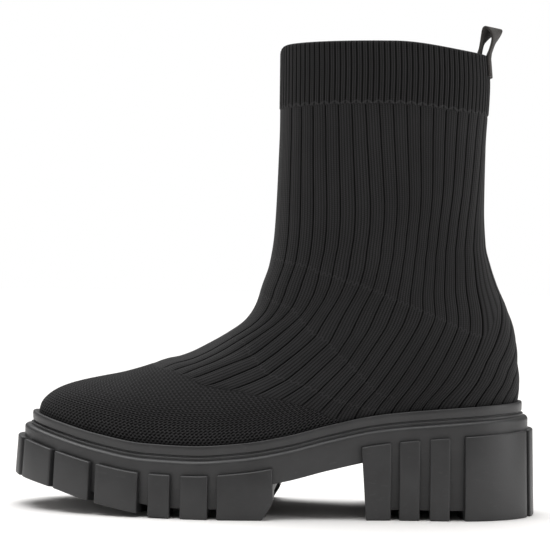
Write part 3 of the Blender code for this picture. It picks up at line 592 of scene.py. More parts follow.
class UpperSurface:
    """The upper's outer surface as a table that gives point and normal at any turn and level."""

    def __init__(self):
        self.points = np.array([upper_ring(i / TABLE_LEVELS, TABLE_AROUND) for i in range(TABLE_LEVELS + 1)])
        round_way = np.roll(self.points, -1, axis=1) - np.roll(self.points, 1, axis=1)
        up_way = np.gradient(self.points, axis=0)
        normal = np.cross(round_way, up_way)
        self.normals = normal / np.maximum(np.linalg.norm(normal, axis=2), 1e-12)[..., None]
        gaps = np.linalg.norm(np.roll(self.points, -1, axis=1) - self.points, axis=2)
        self.half_lengths = gaps.sum(axis=1) / 2

    def read(self, table, turn, level):
        around = np.mod(turn, 2.0) * 0.5 * TABLE_AROUND
        i = np.floor(around).astype(int)
        f = (around - i)[..., None]
        up = np.clip(level, 0.0, 1.0) * TABLE_LEVELS
        j = np.minimum(np.floor(up).astype(int), TABLE_LEVELS - 1)
        g = (up - j)[..., None]
        a = i % TABLE_AROUND
        b = (i + 1) % TABLE_AROUND
        low = table[j, a] * (1 - f) + table[j, b] * f
        high = table[j + 1, a] * (1 - f) + table[j + 1, b] * f
        return low * (1 - g) + high * g

    def place(self, turn, level, proud=0.0):
        """Points at turn (signed: lateral side above 0) and level, moved outwards by proud."""
        turn, level, proud = np.broadcast_arrays(turn, level, proud)
        normal = self.read(self.normals, turn, level)
        normal /= np.linalg.norm(normal, axis=-1)[..., None]
        return self.read(self.points, turn, level) + normal * proud[..., None]

    def half_length(self, level):
        return np.interp(level, np.linspace(0.0, 1.0, TABLE_LEVELS + 1), self.half_lengths)


def deselect_all():
    """Operators act on all that is selected, and the loaded nodes start selected."""
    if bpy.context.object and bpy.context.object.mode != "OBJECT":
        bpy.ops.object.mode_set(mode="OBJECT")
    bpy.ops.object.select_all(action="DESELECT")


def merge_doubles(obj, distance=1e-6):
    bpy.context.view_layer.objects.active = obj
    obj.select_set(True)
    bpy.ops.object.mode_set(mode="EDIT")
    bpy.ops.mesh.select_all(action="SELECT")
    bpy.ops.mesh.remove_doubles(threshold=distance)
    bpy.ops.object.mode_set(mode="OBJECT")


def laid_sheet(name, points, **uv_maps):
    """A flat grid whose columns and rows are laid on the given points, indexed by row and column."""
    rows, columns = points.shape[0] - 1, points.shape[1] - 1
    deselect_all()
    bpy.ops.mesh.primitive_grid_add(x_subdivisions=columns, y_subdivisions=rows, size=1.0)
    sheet = bpy.context.object
    sheet.name = name
    mesh = sheet.data
    mesh.name = name
    flat = np.empty(len(mesh.vertices) * 3)
    mesh.vertices.foreach_get("co", flat)
    flat = flat.reshape(-1, 3)
    column = np.rint((flat[:, 0] + 0.5) * columns).astype(int)
    row = np.rint((flat[:, 1] + 0.5) * rows).astype(int)
    mesh.vertices.foreach_set("co", points[row, column].ravel())
    corner = np.empty(len(mesh.loops), dtype=np.int32)
    mesh.loops.foreach_get("vertex_index", corner)
    while mesh.uv_layers:
        mesh.uv_layers.remove(mesh.uv_layers[0])
    for label, values in uv_maps.items():
        layer = mesh.uv_layers.new(name=label)
        layer.data.foreach_set("uv", values[row, column][corner].astype(np.float32).ravel())
    mesh.update()
    return sheet


def joined(name, *objects):
    """Several meshes made one, with their shared edges merged."""
    deselect_all()
    for obj in objects:
        obj.select_set(True)
    bpy.context.view_layer.objects.active = objects[0]
    bpy.ops.object.join()
    objects[0].name = name
    objects[0].data.name = name
    merge_doubles(objects[0])
    return objects[0]


def finished(obj, finish, slot, *replaced, smooth_angle=None):
    """Gives a piece its material, its shading and its place in the frame, and hides the parts that it replaces.
    """
    deselect_all()
    obj.select_set(True)
    bpy.context.view_layer.objects.active = obj
    if smooth_angle is None:
        bpy.ops.object.shade_smooth()
    else:
        bpy.ops.object.shade_smooth_by_angle(angle=math.radians(smooth_angle))
    obj.data.materials.clear()
    obj.data.materials.append(finish)
    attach(obj, "root")
    if replaced:
        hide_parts(*replaced)
    return obj


class Wire:
    """A socket of a material's node tree that is reckoned with like a number."""

    def __init__(self, finish, socket):
        self.finish = finish
        self.socket = socket

    def reckon(self, operation, *values):
        return self.finish.node("ShaderNodeMath", {"operation": operation}, dict(enumerate(values)))

    def __add__(self, other):
        return self.reckon("ADD", self, other)

    def __radd__(self, other):
        return self.reckon("ADD", other, self)

    def __sub__(self, other):
        return self.reckon("SUBTRACT", self, other)

    def __rsub__(self, other):
        return self.reckon("SUBTRACT", other, self)

    def __mul__(self, other):
        return self.reckon("MULTIPLY", self, other)

    def __rmul__(self, other):
        return self.reckon("MULTIPLY", other, self)

    def __truediv__(self, other):
        return self.reckon("DIVIDE", self, other)

    def __abs__(self):
        return self.reckon("ABSOLUTE", self)

    def fraction(self):
        return self.reckon("FRACT", self)

    def cosine(self):
        return self.reckon("COSINE", self)

    def floor(self):
        return self.reckon("FLOOR", self)

    def modulo(self, size):
        return self.reckon("FLOORED_MODULO", self, size)

    def root(self):
        return self.reckon("SQRT", self)

    def minimum(self, other):
        return self.reckon("MINIMUM", self, other)

    def soft_step(self, low, high):
        """0 below low, 1 above high, and a soft step between."""
        inputs = {"Value": self, "From Min": low, "From Max": high}
        return self.finish.node("ShaderNodeMapRange", {"interpolation_type": "SMOOTHSTEP"}, inputs)


class Finish:
    """A material in the making: its nodes, and the shader that they end in."""

    def __init__(self, name, **uniform):
        self.material = bpy.data.materials.new(name)
        self.material.use_nodes = True
        self.tree = self.material.node_tree
        self.shader = self.tree.nodes["Principled BSDF"]
        for label, value in uniform.items():
            self.shader.inputs[label.replace("_", " ")].default_value = value

    def node(self, kind, settings, inputs, output=0):
        """One node: its type, its settings, the values or wires of its sockets, and the output to read."""
        made = self.tree.nodes.new(kind)
        for label, value in settings.items():
            setattr(made, label, value)
        for label, value in inputs.items():
            self.feed(made.inputs[label], value)
        return Wire(self, made.outputs[output])

    def feed(self, socket, value):
        if isinstance(value, Wire):
            self.tree.links.new(value.socket, socket)
        else:
            socket.default_value = value

    def noise(self, size, detail=2.0, stretch=(1.0, 1.0, 1.0)):
        """Noise of a grain size in metres, on the piece's own coordinates."""
        place = self.node("ShaderNodeTexCoord", {}, {}, "Object")
        scaled = self.node("ShaderNodeVectorMath", {"operation": "MULTIPLY"}, {0: place, 1: stretch})
        return self.node("ShaderNodeTexNoise", {}, {"Vector": scaled, "Scale": 1 / size, "Detail": detail})

    def uv(self, label):
        """The two coordinates of a UV map."""
        place = self.node("ShaderNodeUVMap", {"uv_map": label}, {})
        return [self.node("ShaderNodeSeparateXYZ", {}, {0: place}, k) for k in ("X", "Y")]

    def blend(self, share, low, high):
        """Colour between low and high."""
        made = self.tree.nodes.new("ShaderNodeMix")
        made.data_type = "RGBA"
        self.feed(made.inputs["Factor"], share)
        for label, value in (("A", low), ("B", high)):
            socket = [s for s in made.inputs if s.name == label and s.type == "RGBA"][0]
            self.feed(socket, value if isinstance(value, Wire) else (*value, 1.0))
        colour = [s for s in made.outputs if s.type == "RGBA"][0]
        return Wire(self, colour)

    def finish(self, colour, roughness, height, depth, strength=1.0):
        """Feeds the shader: colour, roughness and a relief whose height 1 stands for depth in metres."""
        self.feed(self.shader.inputs["Base Color"], colour)
        self.feed(self.shader.inputs["Roughness"], roughness)
        bump = self.node("ShaderNodeBump", {}, {"Height": height, "Distance": depth, "Strength": strength})
        self.feed(self.shader.inputs["Normal"], bump)
        return self.material


def shade(colour, factor):
    return tuple(float(c) * factor for c in colour)


def knit_finish(name, yarn, stitch, wales, groove_share):
    """Fine knit: columns of small chevron stitches across each rib, with painted shade in the grooves between
    ribs and painted shading that lightens the stitches' raised tops.
    """
    finish = Finish(name, Specular_IOR_Level=0.22, Sheen_Weight=0.06, Sheen_Roughness=0.45)
    rib, along = finish.uv("knit")
    wale = abs((rib * wales).fraction() - 0.5) * 2.0
    wale_height = 1.0 - wale * wale
    phase = (along / stitch + wale * 0.55) * (2 * math.pi)
    loop = 0.5 + 0.5 * phase.cosine()
    fibre = finish.noise(0.00035, 3.0)
    patches = finish.noise(0.030, 2.0)
    # Painted shade: this mask darkens the yarn almost to black in the grooves between ribs, where shade falls.
    groove = 1.0 - abs((rib + 0.5).fraction() - 0.5).soft_step(groove_share * 0.35, groove_share)
    relief = wale_height * (0.7 + 0.3 * loop) + 0.3 * fibre
    # Painted shading: the stitches' raised tops are lighter and the dips between wales darker, following the
    # relief; the fibre and patch noise is random tone of the yarn.
    light = wale_height * (0.5 + 0.5 * loop) * (0.45 + 1.1 * fibre) + (patches - 0.5) * 0.35
    colour = finish.blend(light.soft_step(0.0, 1.0), shade(yarn, 0.35), shade(yarn, 2.1))
    # Painted shade in the grooves between ribs.
    colour = finish.blend(groove * 0.96, colour, shade(yarn, 0.06))
    return finish, rib, along, relief, colour, fibre


def body_knit(colours, sizes):
    """Ribbed body: knit with thin lighter zigzag lines where the knit was shaped."""
    # The knit's painted groove shade is narrow here, between the broad ribs.
    made = knit_finish("ribbed_knit", colours.yarn, sizes.stitch, 5.0, 0.085)
    finish, rib, along, relief, colour, fibre = made
    kink_rib, from_kink = finish.uv("kinks")
    zigzag = (abs((kink_rib * 2.5).fraction() - 0.5) - 0.25) * 0.0034
    line = 1.0 - abs(from_kink - zigzag).soft_step(0.00015, 0.00062)
    colour = finish.blend(line * 0.5 * (0.3 + fibre), colour, shade(colours.yarn, 3.0))
    relief = relief + line * 0.5
    return finish.finish(colour, 0.82 + fibre * 0.14, relief, 0.00022, 0.9)


def cuff_knit(colours, sizes):
    """Cuff: fine ribs, each two wales wide."""
    # The knit's painted groove shade takes a wider share between the cuff's fine ribs.
    made = knit_finish("cuff_knit", colours.yarn, sizes.stitch, 2.0, 0.26)
    finish, rib, along, relief, colour, fibre = made
    foot = 0.0013 + (abs((rib * 0.5).fraction() - 0.5) - 0.25) * 0.0032
    line = 1.0 - abs(along - foot).soft_step(0.0002, 0.0008)
    colour = finish.blend(line * (0.1 + fibre), colour, shade(colours.yarn, 3.2))
    return finish.finish(colour, 0.82 + fibre * 0.14, relief, 0.00020, 0.9)


def mesh_knit(colours, sizes):
    """Toe: open knit with staggered rows of small oval holes between slanting strands; the holes are painted
    near-black as painted shade, and the strands carry a painted highlight.
    """
    finish = Finish("mesh_knit", Specular_IOR_Level=0.15, Sheen_Weight=0.02, Sheen_Roughness=0.45)
    across, up = finish.uv("knit")
    row = up / sizes.row_pitch
    shifted = across / sizes.hole_pitch + row.floor().modulo(2.0) * 0.5
    from_hole_u = (shifted.fraction() - 0.5) * sizes.hole_pitch
    from_hole_v = (row.fraction() - 0.5) * sizes.row_pitch
    tilt = math.radians(32.0)
    long_way = (from_hole_u * math.cos(tilt) + from_hole_v * math.sin(tilt)) / (0.36 * sizes.hole_pitch)
    short_way = (from_hole_v * math.cos(tilt) - from_hole_u * math.sin(tilt)) / (0.34 * sizes.row_pitch)
    reach = (long_way * long_way + short_way * short_way).root()
    # Holes: real openings of the knit, painted near-black below as painted shade of the opening.
    hole = 1.0 - reach.soft_step(0.75, 1.3)
    fibre = finish.noise(0.00035, 3.0)
    patches = finish.noise(0.025, 2.0)
    twist = 0.5 + 0.5 * ((across * 0.6 + up) / (0.22 * sizes.stitch)).cosine()
    relief = (1.0 - hole) * (0.75 + 0.25 * twist) + 0.2 * fibre
    # Painted highlight: the strands are lighter along their twist, following the relief; the fibre and patch
    # noise is random tone.
    light = (0.35 + 0.65 * twist) * (0.5 + fibre) * 0.8 + (patches - 0.5) * 0.3
    colour = finish.blend(light.soft_step(0.0, 1.0), shade(colours.yarn, 0.9), shade(colours.yarn, 3.6))
    # Painted shade: the holes are painted almost black.
    colour = finish.blend(hole * 0.98, colour, shade(colours.yarn, 0.05))
    return finish.finish(colour, 0.78 + fibre * 0.16, relief, 0.0005, 1.0)


def lining_cloth(colours):
    """Lining and insole: close knit of small rows, a little paler where it is rubbed."""
    finish = Finish("lining_cloth", Specular_IOR_Level=0.2)
    rows = finish.noise(0.0006, 2.0, (1.0, 1.0, 3.0))
    fibre = finish.noise(0.00025, 3.0)
    patches = finish.noise(0.020, 2.0)
    light = rows * 0.6 + fibre * 0.3 + (patches - 0.5) * 0.5
    colour = finish.blend(light.soft_step(0.1, 0.9), shade(colours.lining, 0.6), shade(colours.lining, 1.6))
    return finish.finish(colour, 0.86 + fibre * 0.1, rows + 0.4 * fibre, 0.0002, 0.8)


def moulded_rubber(colours, name, gloss, bright):
    """Moulded rubber: soft cloudy sheen, fine pitting, pale dust and small scuffs."""
    finish = Finish(name, Specular_IOR_Level=0.5, Coat_Roughness=0.3)
    cloud = finish.noise(0.018, 3.0)
    pits = finish.noise(0.0007, 3.0)
    grain = finish.noise(0.00022, 2.0)
    scuff = finish.noise(0.0045, 5.0, (1.0, 1.0, 2.6)).soft_step(0.60, 0.74)
    dust = finish.noise(0.0013, 4.0).soft_step(0.66, 0.76)
    base = shade(colours.rubber, bright)
    colour = finish.blend(cloud.soft_step(0.3, 0.7), shade(base, 0.86), shade(base, 1.18))
    colour = finish.blend(scuff * 0.25 + dust * 0.22, colour, shade(base, 2.6))
    roughness = gloss + (cloud - 0.5) * 0.22 + scuff * 0.12 + (grain - 0.5) * 0.10
    return finish.finish(colour, roughness, pits * 0.6 + grain * 0.4 + cloud * 1.5, 0.00012, 0.7)


def woven_webbing(colours):
    """Pull loop: a plain woven tape with rows of coarse threads and a rounded selvedge."""
    finish = Finish("woven_webbing", Specular_IOR_Level=0.35, Sheen_Weight=0.1, Sheen_Roughness=0.4)
    across, along = finish.uv("knit")
    warp = 0.5 + 0.5 * (across / 0.0009 * (2 * math.pi)).cosine()
    weft = 0.5 + 0.5 * ((along / 0.0011 + (across / 0.0009).floor().modulo(2.0) * 0.5) * (2 * math.pi)).cosine()
    fibre = finish.noise(0.0003, 3.0)
    light = warp * 0.4 + weft * 0.4 + fibre * 0.4
    colour = finish.blend(light.soft_step(0.1, 1.1), shade(colours.webbing, 0.5), shade(colours.webbing, 1.7))
    return finish.finish(colour, 0.68 + fibre * 0.2, warp * 0.5 + weft * 0.5 + fibre * 0.2, 0.00022, 0.9)


def crease_relief(surface, points):
    """Sum of the creases' soft troughs and ridges at each point, on both sides of the boot."""
    total = np.zeros(points.shape[:-1])
    for crease in CREASES:
        for side in (-1, 1):
            ends = [surface.place(np.array(side * turn), np.array(level))
                    for turn, level in (crease.start, crease.end)]
            way = ends[1] - ends[0]
            share = np.clip(((points - ends[0]) @ way) / (way @ way), 0.0, 1.0)
            away = np.linalg.norm(points - (ends[0] + share[..., None] * way), axis=-1)
            fade = ease(share, 0.0, 0.25) * (1 - ease(share, 0.75, 1.0))
            total += crease.depth * fade * np.exp(-(away / crease.half_width) ** 2)
    return total


def flow_places(ribs, first_kink=0):
    """Turns and levels of the knit's columns, rows from the sole up; each column follows its rib."""
    steps = list(FlowRow._fields[1 + first_kink:])
    turns = []
    levels = []
    for field in steps:
        turns.append(smooth_curve([(row.rib, getattr(row, field)[0]) for row in FLOW])(ribs))
        levels.append(smooth_curve([(row.rib, getattr(row, field)[1]) for row in FLOW])(ribs))
    rows = ROWS_BETWEEN[first_kink:]
    stops = np.concatenate([k + np.arange(count) / count for k, count in enumerate(rows)] + [[len(rows)]])
    knots = np.arange(len(steps))
    turn = np.array([np.interp(stops, knots, column) for column in np.array(turns).T]).T
    level = np.array([np.interp(stops, knots, column) for column in np.array(levels).T]).T
    return turn[::-1], level[::-1], (stops + first_kink)[::-1]


def rib_relief(ribs, sizes):
    """Rounded rib with a narrow groove at every whole rib number."""
    from_groove = np.abs(ribs - np.rint(ribs))
    groove = np.exp(-(from_groove / 0.055) ** 2)
    crown = np.sqrt(np.clip(from_groove * 2, 0.0, 1.0))
    grooved = ease(np.abs(ribs), SMOOTH_FRONT_RIBS - 1.0, SMOOTH_FRONT_RIBS)
    return grooved * (crown * sizes.rib_crown - groove * sizes.groove_depth) + (1 - grooved) * sizes.rib_crown


def rib_columns(first, last):
    """Rib numbers of the mesh's columns between two ribs."""
    whole = np.arange(math.floor(first), math.ceil(last) + 1)
    all_columns = (whole[:, None] + np.array(COLUMNS_IN_RIB)[None, :]).ravel()
    inside = all_columns[(all_columns > first + 0.01) & (all_columns < last - 0.01)]
    return np.concatenate(([first], inside, [last]))


def ribbed_sheet(name, surface, sizes, ribs, side, first_kink=0):
    """One sheet of the ribbed body: columns along the ribs, on one side of the boot or across the ridge."""
    turn, level, stops = flow_places(np.abs(ribs), first_kink)
    turn = turn * (np.sign(ribs) if side is None else side)
    base = surface.place(turn, level)
    step = np.linalg.norm(np.diff(base, axis=0), axis=2)
    along = np.vstack((np.zeros((1, base.shape[1])), np.cumsum(step, axis=0)))
    relief = np.broadcast_to(rib_relief(ribs, sizes), turn.shape)
    to_top = along[-1] - along if first_kink == 0 else np.full(along.shape, 1.0)
    fade = ease(along, 0.0, 0.0040) * ease(to_top, 0.0, 0.0010)
    proud = relief * fade + crease_relief(surface, base)
    points = surface.place(turn, level, proud)
    kinks = [np.array([np.interp(-k, -stops, along[:, c]) for c in range(along.shape[1])]) for k in (1, 2, 3)]
    signed = np.stack([along - kink[None, :] for kink in kinks])
    if first_kink:
        signed = signed[1:2] * 0.0 + FAR_FROM_KINK
    nearest = np.take_along_axis(signed, np.abs(signed).argmin(axis=0)[None], axis=0)[0]
    rib_map = np.broadcast_to(ribs, turn.shape)
    in_back = np.abs(rib_map) > 15.6
    nearest = np.where(in_back & (stops[:, None] > 1.5), FAR_FROM_KINK, nearest)
    nearest = np.where(np.abs(rib_map) > 19.2, FAR_FROM_KINK, nearest)
    knit = np.stack((rib_map, along), axis=-1)
    kinks_map = np.stack((rib_map, np.clip(nearest, -FAR_FROM_KINK, FAR_FROM_KINK)), axis=-1)
    return laid_sheet(name, points, knit=knit, kinks=kinks_map)


_surface = []


def upper_surface():
    """The surface table, worked out once."""
    if not _surface:
        _surface.append(UpperSurface())
    return _surface[0]


class BOOT_OT_ribbed_body(bpy.types.Operator):
    """Lay the ribbed knit over instep, shaft and heel, each column of the mesh along its rib"""
    bl_idname = "boot.ribbed_body"
    bl_label = "Ribbed Body"

    def execute(self, context):
        scene = context.scene
        surface = upper_surface()
        half = rib_columns(FIRST_RIB, BACK_RIB)
        across = np.concatenate((-half[:0:-1], half))
        body = ribbed_sheet("upper_ribs", surface, scene.boot_sizes, across, None)
        back = rib_columns(BACK_RIB, LAST_RIB)
        lateral = ribbed_sheet("heel_lateral", surface, scene.boot_sizes, back, 1, 1)
        medial = ribbed_sheet("heel_medial", surface, scene.boot_sizes, back[::-1], -1, 1)
        body = joined("upper_ribs", body, lateral, medial)
        finished(body, body_knit(scene.boot_colours, scene.boot_sizes), "knit", "upper")
        return {"FINISHED"}


def toe_boundary(turn):
    """Level at which the toe's open knit meets the ribs."""
    rows = [row.end for row in FLOW if row.rib <= 14.0]
    return smooth_curve(rows)(turn)


class BOOT_OT_mesh_toe(bpy.types.Operator):
    """Lay the open knit over toe and side of the foot, up to the ribs"""
    bl_idname = "boot.mesh_toe"
    bl_label = "Mesh Toe"

    def execute(self, context):
        scene = context.scene
        surface = upper_surface()
        turn = np.linspace(-MESH_TURN, MESH_TURN, 361)[None, :]
        rows = np.linspace(0.0, 1.0, 71)[:, None]
        top = toe_boundary(np.abs(turn)) + MESH_LAP
        level = FOOT_LEVEL + rows * (top - FOOT_LEVEL)
        turn = np.broadcast_to(turn, level.shape)
        base = surface.place(turn, level)
        step = np.linalg.norm(np.diff(base, axis=0), axis=2)
        up = np.vstack((np.zeros((1, base.shape[1])), np.cumsum(step, axis=0)))
        under_ribs = ease(up, up[-1] - 0.0012, up[-1] - 0.0004)
        proud = -MESH_SINK * under_ribs + crease_relief(surface, base)
        knit = np.stack((turn * surface.half_length(level), up), axis=-1)
        toe = laid_sheet("upper_toe", surface.place(turn, level, proud), knit=knit)
        finished(toe, mesh_knit(scene.boot_colours, scene.boot_sizes), "knit", "upper")
        return {"FINISHED"}


class BOOT_OT_cuff(bpy.types.Operator):
    """Lay the finely ribbed cuff round the top, over the rim and down the inside"""
    bl_idname = "boot.cuff"
    bl_label = "Cuff"

    def execute(self, context):
        scene = context.scene
        sizes = scene.boot_sizes
        surface = upper_surface()
        ribs = sizes.cuff_ribs
        columns = int(ribs * 2 * 6)
        turn = np.linspace(0.0, 2.0, columns + 1)
        from_ridge = np.minimum(turn, 2.0 - turn)
        top = RIM_LEVEL - RIM_DIP * np.exp(-(from_ridge / 0.05) ** 2)
        outer = np.linspace(CUFF_LEVEL - CUFF_LAP, top, 26)
        inner = np.linspace(top, np.full(top.shape, INNER_LEVEL), 14)
        depth = sizes.cuff_rib_depth
        ridge = np.abs(np.sin(turn * ribs * math.pi)) ** 0.4
        relief = ridge * depth - 0.6 * depth
        rim_radius = 0.5 * UPPER_WALL
        points = []
        for i, level in enumerate(outer):
            lift = CUFF_LIFT if i else -0.0002
            points.append(surface.place(turn, level, relief + lift))
        edge = surface.place(turn, top)
        away = surface.place(turn, top, 1.0) - edge
        away[:, 2] = 0.0
        away /= np.linalg.norm(away, axis=1)[:, None]
        for angle in np.radians((25, 50, 75, 100, 125, 150)):
            reach = rim_radius + (relief + CUFF_LIFT) * abs(math.cos(angle))
            out = away * (math.cos(angle) * reach[:, None] - rim_radius)
            rise = np.array((0.0, 0.0, math.sin(angle) * rim_radius * 1.2))
            points.append(edge + out + rise)
        for level in inner:
            points.append(surface.place(turn, level, -(2 * rim_radius) - relief))
        points = np.array(points)
        points[:, -1] = points[:, 0]
        step = np.linalg.norm(np.diff(points, axis=0), axis=2).mean(axis=1)
        along = np.concatenate(((0.0,), np.cumsum(step)))
        rib_map, along_map = np.meshgrid(turn * ribs, along)
        cuff = laid_sheet("upper_cuff", points, knit=np.stack((rib_map, along_map), axis=-1))
        merge_doubles(cuff)
        finished(cuff, cuff_knit(scene.boot_colours, sizes), "knit", "upper")
        return {"FINISHED"}


class BOOT_OT_inside(bpy.types.Operator):
    """Line the upper and dress the insole"""
    bl_idname = "boot.inside"
    bl_label = "Lining and Insole"

    def execute(self, context):
        scene = context.scene
        surface = upper_surface()
        turn = np.linspace(2.0, 0.0, 161)[None, :]
        level = np.linspace(FOOT_LEVEL, 0.93, 71)[:, None]
        base = np.broadcast_to(turn, (71, 161)), np.broadcast_to(level, (71, 161))
        points = surface.place(*base, -UPPER_WALL - CLEARANCE)
        lining = laid_sheet("upper_lining", points)
        merge_doubles(lining)
        cloth = lining_cloth(scene.boot_colours)
        finished(lining, cloth, "lining", "upper")
        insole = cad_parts["insole"]
        insole.data.materials.clear()
        insole.data.materials.append(cloth)
        return {"FINISHED"}


def collar_back_x(y, z):
    """Where the shaft's outer surface lies at its back, at a distance y off the middle."""
    back = float(back_x(z))
    x = np.linspace(back - 0.3 * SHAFT_LENGTH, back, 200)
    width = upper_half_width(x, np.full(x.shape, z), 1)
    return float(np.interp(abs(y), width[::-1], x[::-1]))


def loop_corner(out, rise, width, share, normal, face):
    """Point on the loop's tape: across its width and on one face; its legs follow the collar's curve."""
    angle = math.radians(LOOP_TWIST) * share
    depth = out + normal[0] * face
    collar = float(collar_z(SHAFT_BACK))
    wall_middle = collar_back_x(width, collar + min(rise, 0.0)) - 0.5 * UPPER_WALL
    middle = collar_back_x(0.0, collar) - 0.5 * UPPER_WALL
    turned_x = middle + depth * math.cos(angle) + width * math.sin(angle)
    turned_y = width * math.cos(angle) - depth * math.sin(angle)
    x = (wall_middle + depth) * (1 - share) + turned_x * share
    y = width * (1 - share) + turned_y * share
    return (x, MIDDLE_Y + y, collar + rise + normal[1] * face)


class BOOT_OT_pull_loop(bpy.types.Operator):
    """Fold the woven tape of the pull loop over the back of the collar"""
    bl_idname = "boot.pull_loop"
    bl_label = "Pull Loop"

    def execute(self, context):
        scene = context.scene
        leg_gap = 0.5 * UPPER_WALL + LOOP_SPACE + 0.5 * LOOP_WALL
        path = [(-leg_gap, rise, 0.0) for rise in np.linspace(-LOOP_OVERLAP, 0.0, 10, endpoint=False)]
        for i in range(1, ARCH_STEPS):
            turn = math.pi * i / ARCH_STEPS
            height = math.sin(turn)
            spread = -math.cos(turn) * (leg_gap + (LOOP_BOW - leg_gap) * height)
            path.append((spread + LOOP_LEAN * height, height**ARCH_POWER * (LOOP_HEIGHT - LOOP_WALL), height))
        path += [(leg_gap, rise, 0.0) for rise in np.linspace(0.0, -LOOP_OVERLAP, 11)[1:]]
        half = 0.5 * LOOP_WALL
        side = 0.5 * LOOP_WIDTH
        section = [(w, half) for w in np.linspace(-side + half, side - half, 9)]
        section += [(side - half * (1 - math.sin(a)), half * math.cos(a)) for a in np.radians((45, 90, 135))]
        section += [(w, -half) for w in np.linspace(side - half, -side + half, 9)]
        section += [(-side + half * (1 - math.sin(a)), -half * math.cos(a)) for a in np.radians((45, 90, 135))]
        section.append(section[0])
        rows = []
        for i, (out, rise, share) in enumerate(path):
            before = path[max(i - 1, 0)]
            after = path[min(i + 1, len(path) - 1)]
            way = np.array((after[0] - before[0], after[1] - before[1]))
            way /= np.linalg.norm(way)
            normal = (-way[1], way[0])
            rows.append([loop_corner(out, rise, width, share, normal, face) for width, face in section])
        points = np.array(rows)
        ends = [points[i].mean(axis=0) * np.ones_like(points[i]) for i in (0, -1)]
        points = np.concatenate((ends[:1], points, ends[1:]))
        step = np.linalg.norm(np.diff(points, axis=0), axis=2).mean(axis=1)
        along = np.concatenate(((0.0,), np.cumsum(step)))
        girth = np.concatenate(((0.0,), np.cumsum(np.linalg.norm(np.diff(np.array(section), axis=0), axis=1))))
        across_map, along_map = np.meshgrid(girth, along)
        loop = laid_sheet("pull_loop_tape", points, knit=np.stack((across_map, along_map), axis=-1))
        merge_doubles(loop)
        face_outwards(loop)
        finished(loop, woven_webbing(scene.boot_colours), "webbing", "pull_loop", smooth_angle=50)
        return {"FINISHED"}


def face_outwards(obj):
    """Turns every face of a closed piece outwards."""
    bpy.context.view_layer.objects.active = obj
    bpy.ops.object.mode_set(mode="EDIT")
    bpy.ops.mesh.select_all(action="SELECT")
    bpy.ops.mesh.normals_make_consistent(inside=False)
    bpy.ops.object.mode_set(mode="OBJECT")


def swept_band(name, profile, height):
    """A band round the sole's outline, from (outwards, down) points of its section."""
    rings = []
    for out, down in profile:
        plan = outline(out, SWEEP_STEPS)
        ring = np.column_stack((plan, height(plan[:, 0]) - down))
        rings.append(np.vstack((ring, ring[:1])))
    return laid_sheet(name, np.array(rings))


def close_ends(obj):
    """Fills the open edge loops of a band with strips straight across the sole."""
    deselect_all()
    obj.select_set(True)
    bpy.context.view_layer.objects.active = obj
    bpy.ops.object.mode_set(mode="EDIT")
    bpy.ops.mesh.select_mode(type="EDGE")
    bpy.ops.mesh.select_all(action="DESELECT")
    bpy.ops.mesh.select_non_manifold(extend=False, use_wire=False, use_multi_face=False,
                                     use_non_contiguous=False, use_verts=False)
    bpy.ops.mesh.edge_face_add()
    bpy.ops.mesh.select_all(action="SELECT")
    bpy.ops.mesh.normals_make_consistent(inside=False)
    bpy.ops.object.mode_set(mode="OBJECT")


def rounded(points, radius, pieces=3):
    """A section with each marked corner replaced by a small arc; a row is (outwards, down, rounded)."""
    made = []
    count = len(points)
    for i, (out, down, soft) in enumerate(points):
        here = np.array((out, down))
        if not soft:
            made.append(tuple(here))
            continue
        before = np.array(points[i - 1][:2])
        after = np.array(points[(i + 1) % count][:2])
        reach = [min(radius, 0.45 * np.linalg.norm(end - here)) for end in (before, after)]
        start = here + (before - here) / np.linalg.norm(before - here) * reach[0]
        stop = here + (after - here) / np.linalg.norm(after - here) * reach[1]
        for k in range(pieces + 1):
            t = k / pieces
            made.append(tuple(start * (1 - t) ** 2 + here * 2 * t * (1 - t) + stop * t**2))
    return made


class BOOT_OT_welt(bpy.types.Operator):
    """Run the glossy rubber rand round the foot of the upper"""
    bl_idname = "boot.welt"
    bl_label = "Welt"

    def execute(self, context):
        groove = 0.10 * WELT_HEIGHT
        corners = (
            (-0.0004, WELT_HEIGHT - CLEARANCE, False),
            (-0.0004, 0.0002, True),
            (WELT_WIDTH - 0.0002, 0.0, True),
            (WELT_WIDTH + 0.0001, 0.0016, True),
            (WELT_WIDTH - 0.0001, WELT_HEIGHT - 2.9 * groove, True),
            (WELT_WIDTH - groove, WELT_HEIGHT - 2.4 * groove, False),
            (WELT_WIDTH - groove, WELT_HEIGHT - 1.8 * groove, False),
            (WELT_WIDTH + groove, WELT_HEIGHT - 1.5 * groove, True),
            (WELT_WIDTH + groove, WELT_HEIGHT + 0.0001, False),
        )
        profile = rounded(corners, 0.0007)
        welt = swept_band("welt_rand", profile + profile[:1], welt_top)
        merge_doubles(welt)
        face_outwards(welt)
        rubber = moulded_rubber(context.scene.boot_colours, "welt_rubber", 0.42, 1.0)
        finished(welt, rubber, "rubber", "welt", smooth_angle=40)
        return {"FINISHED"}


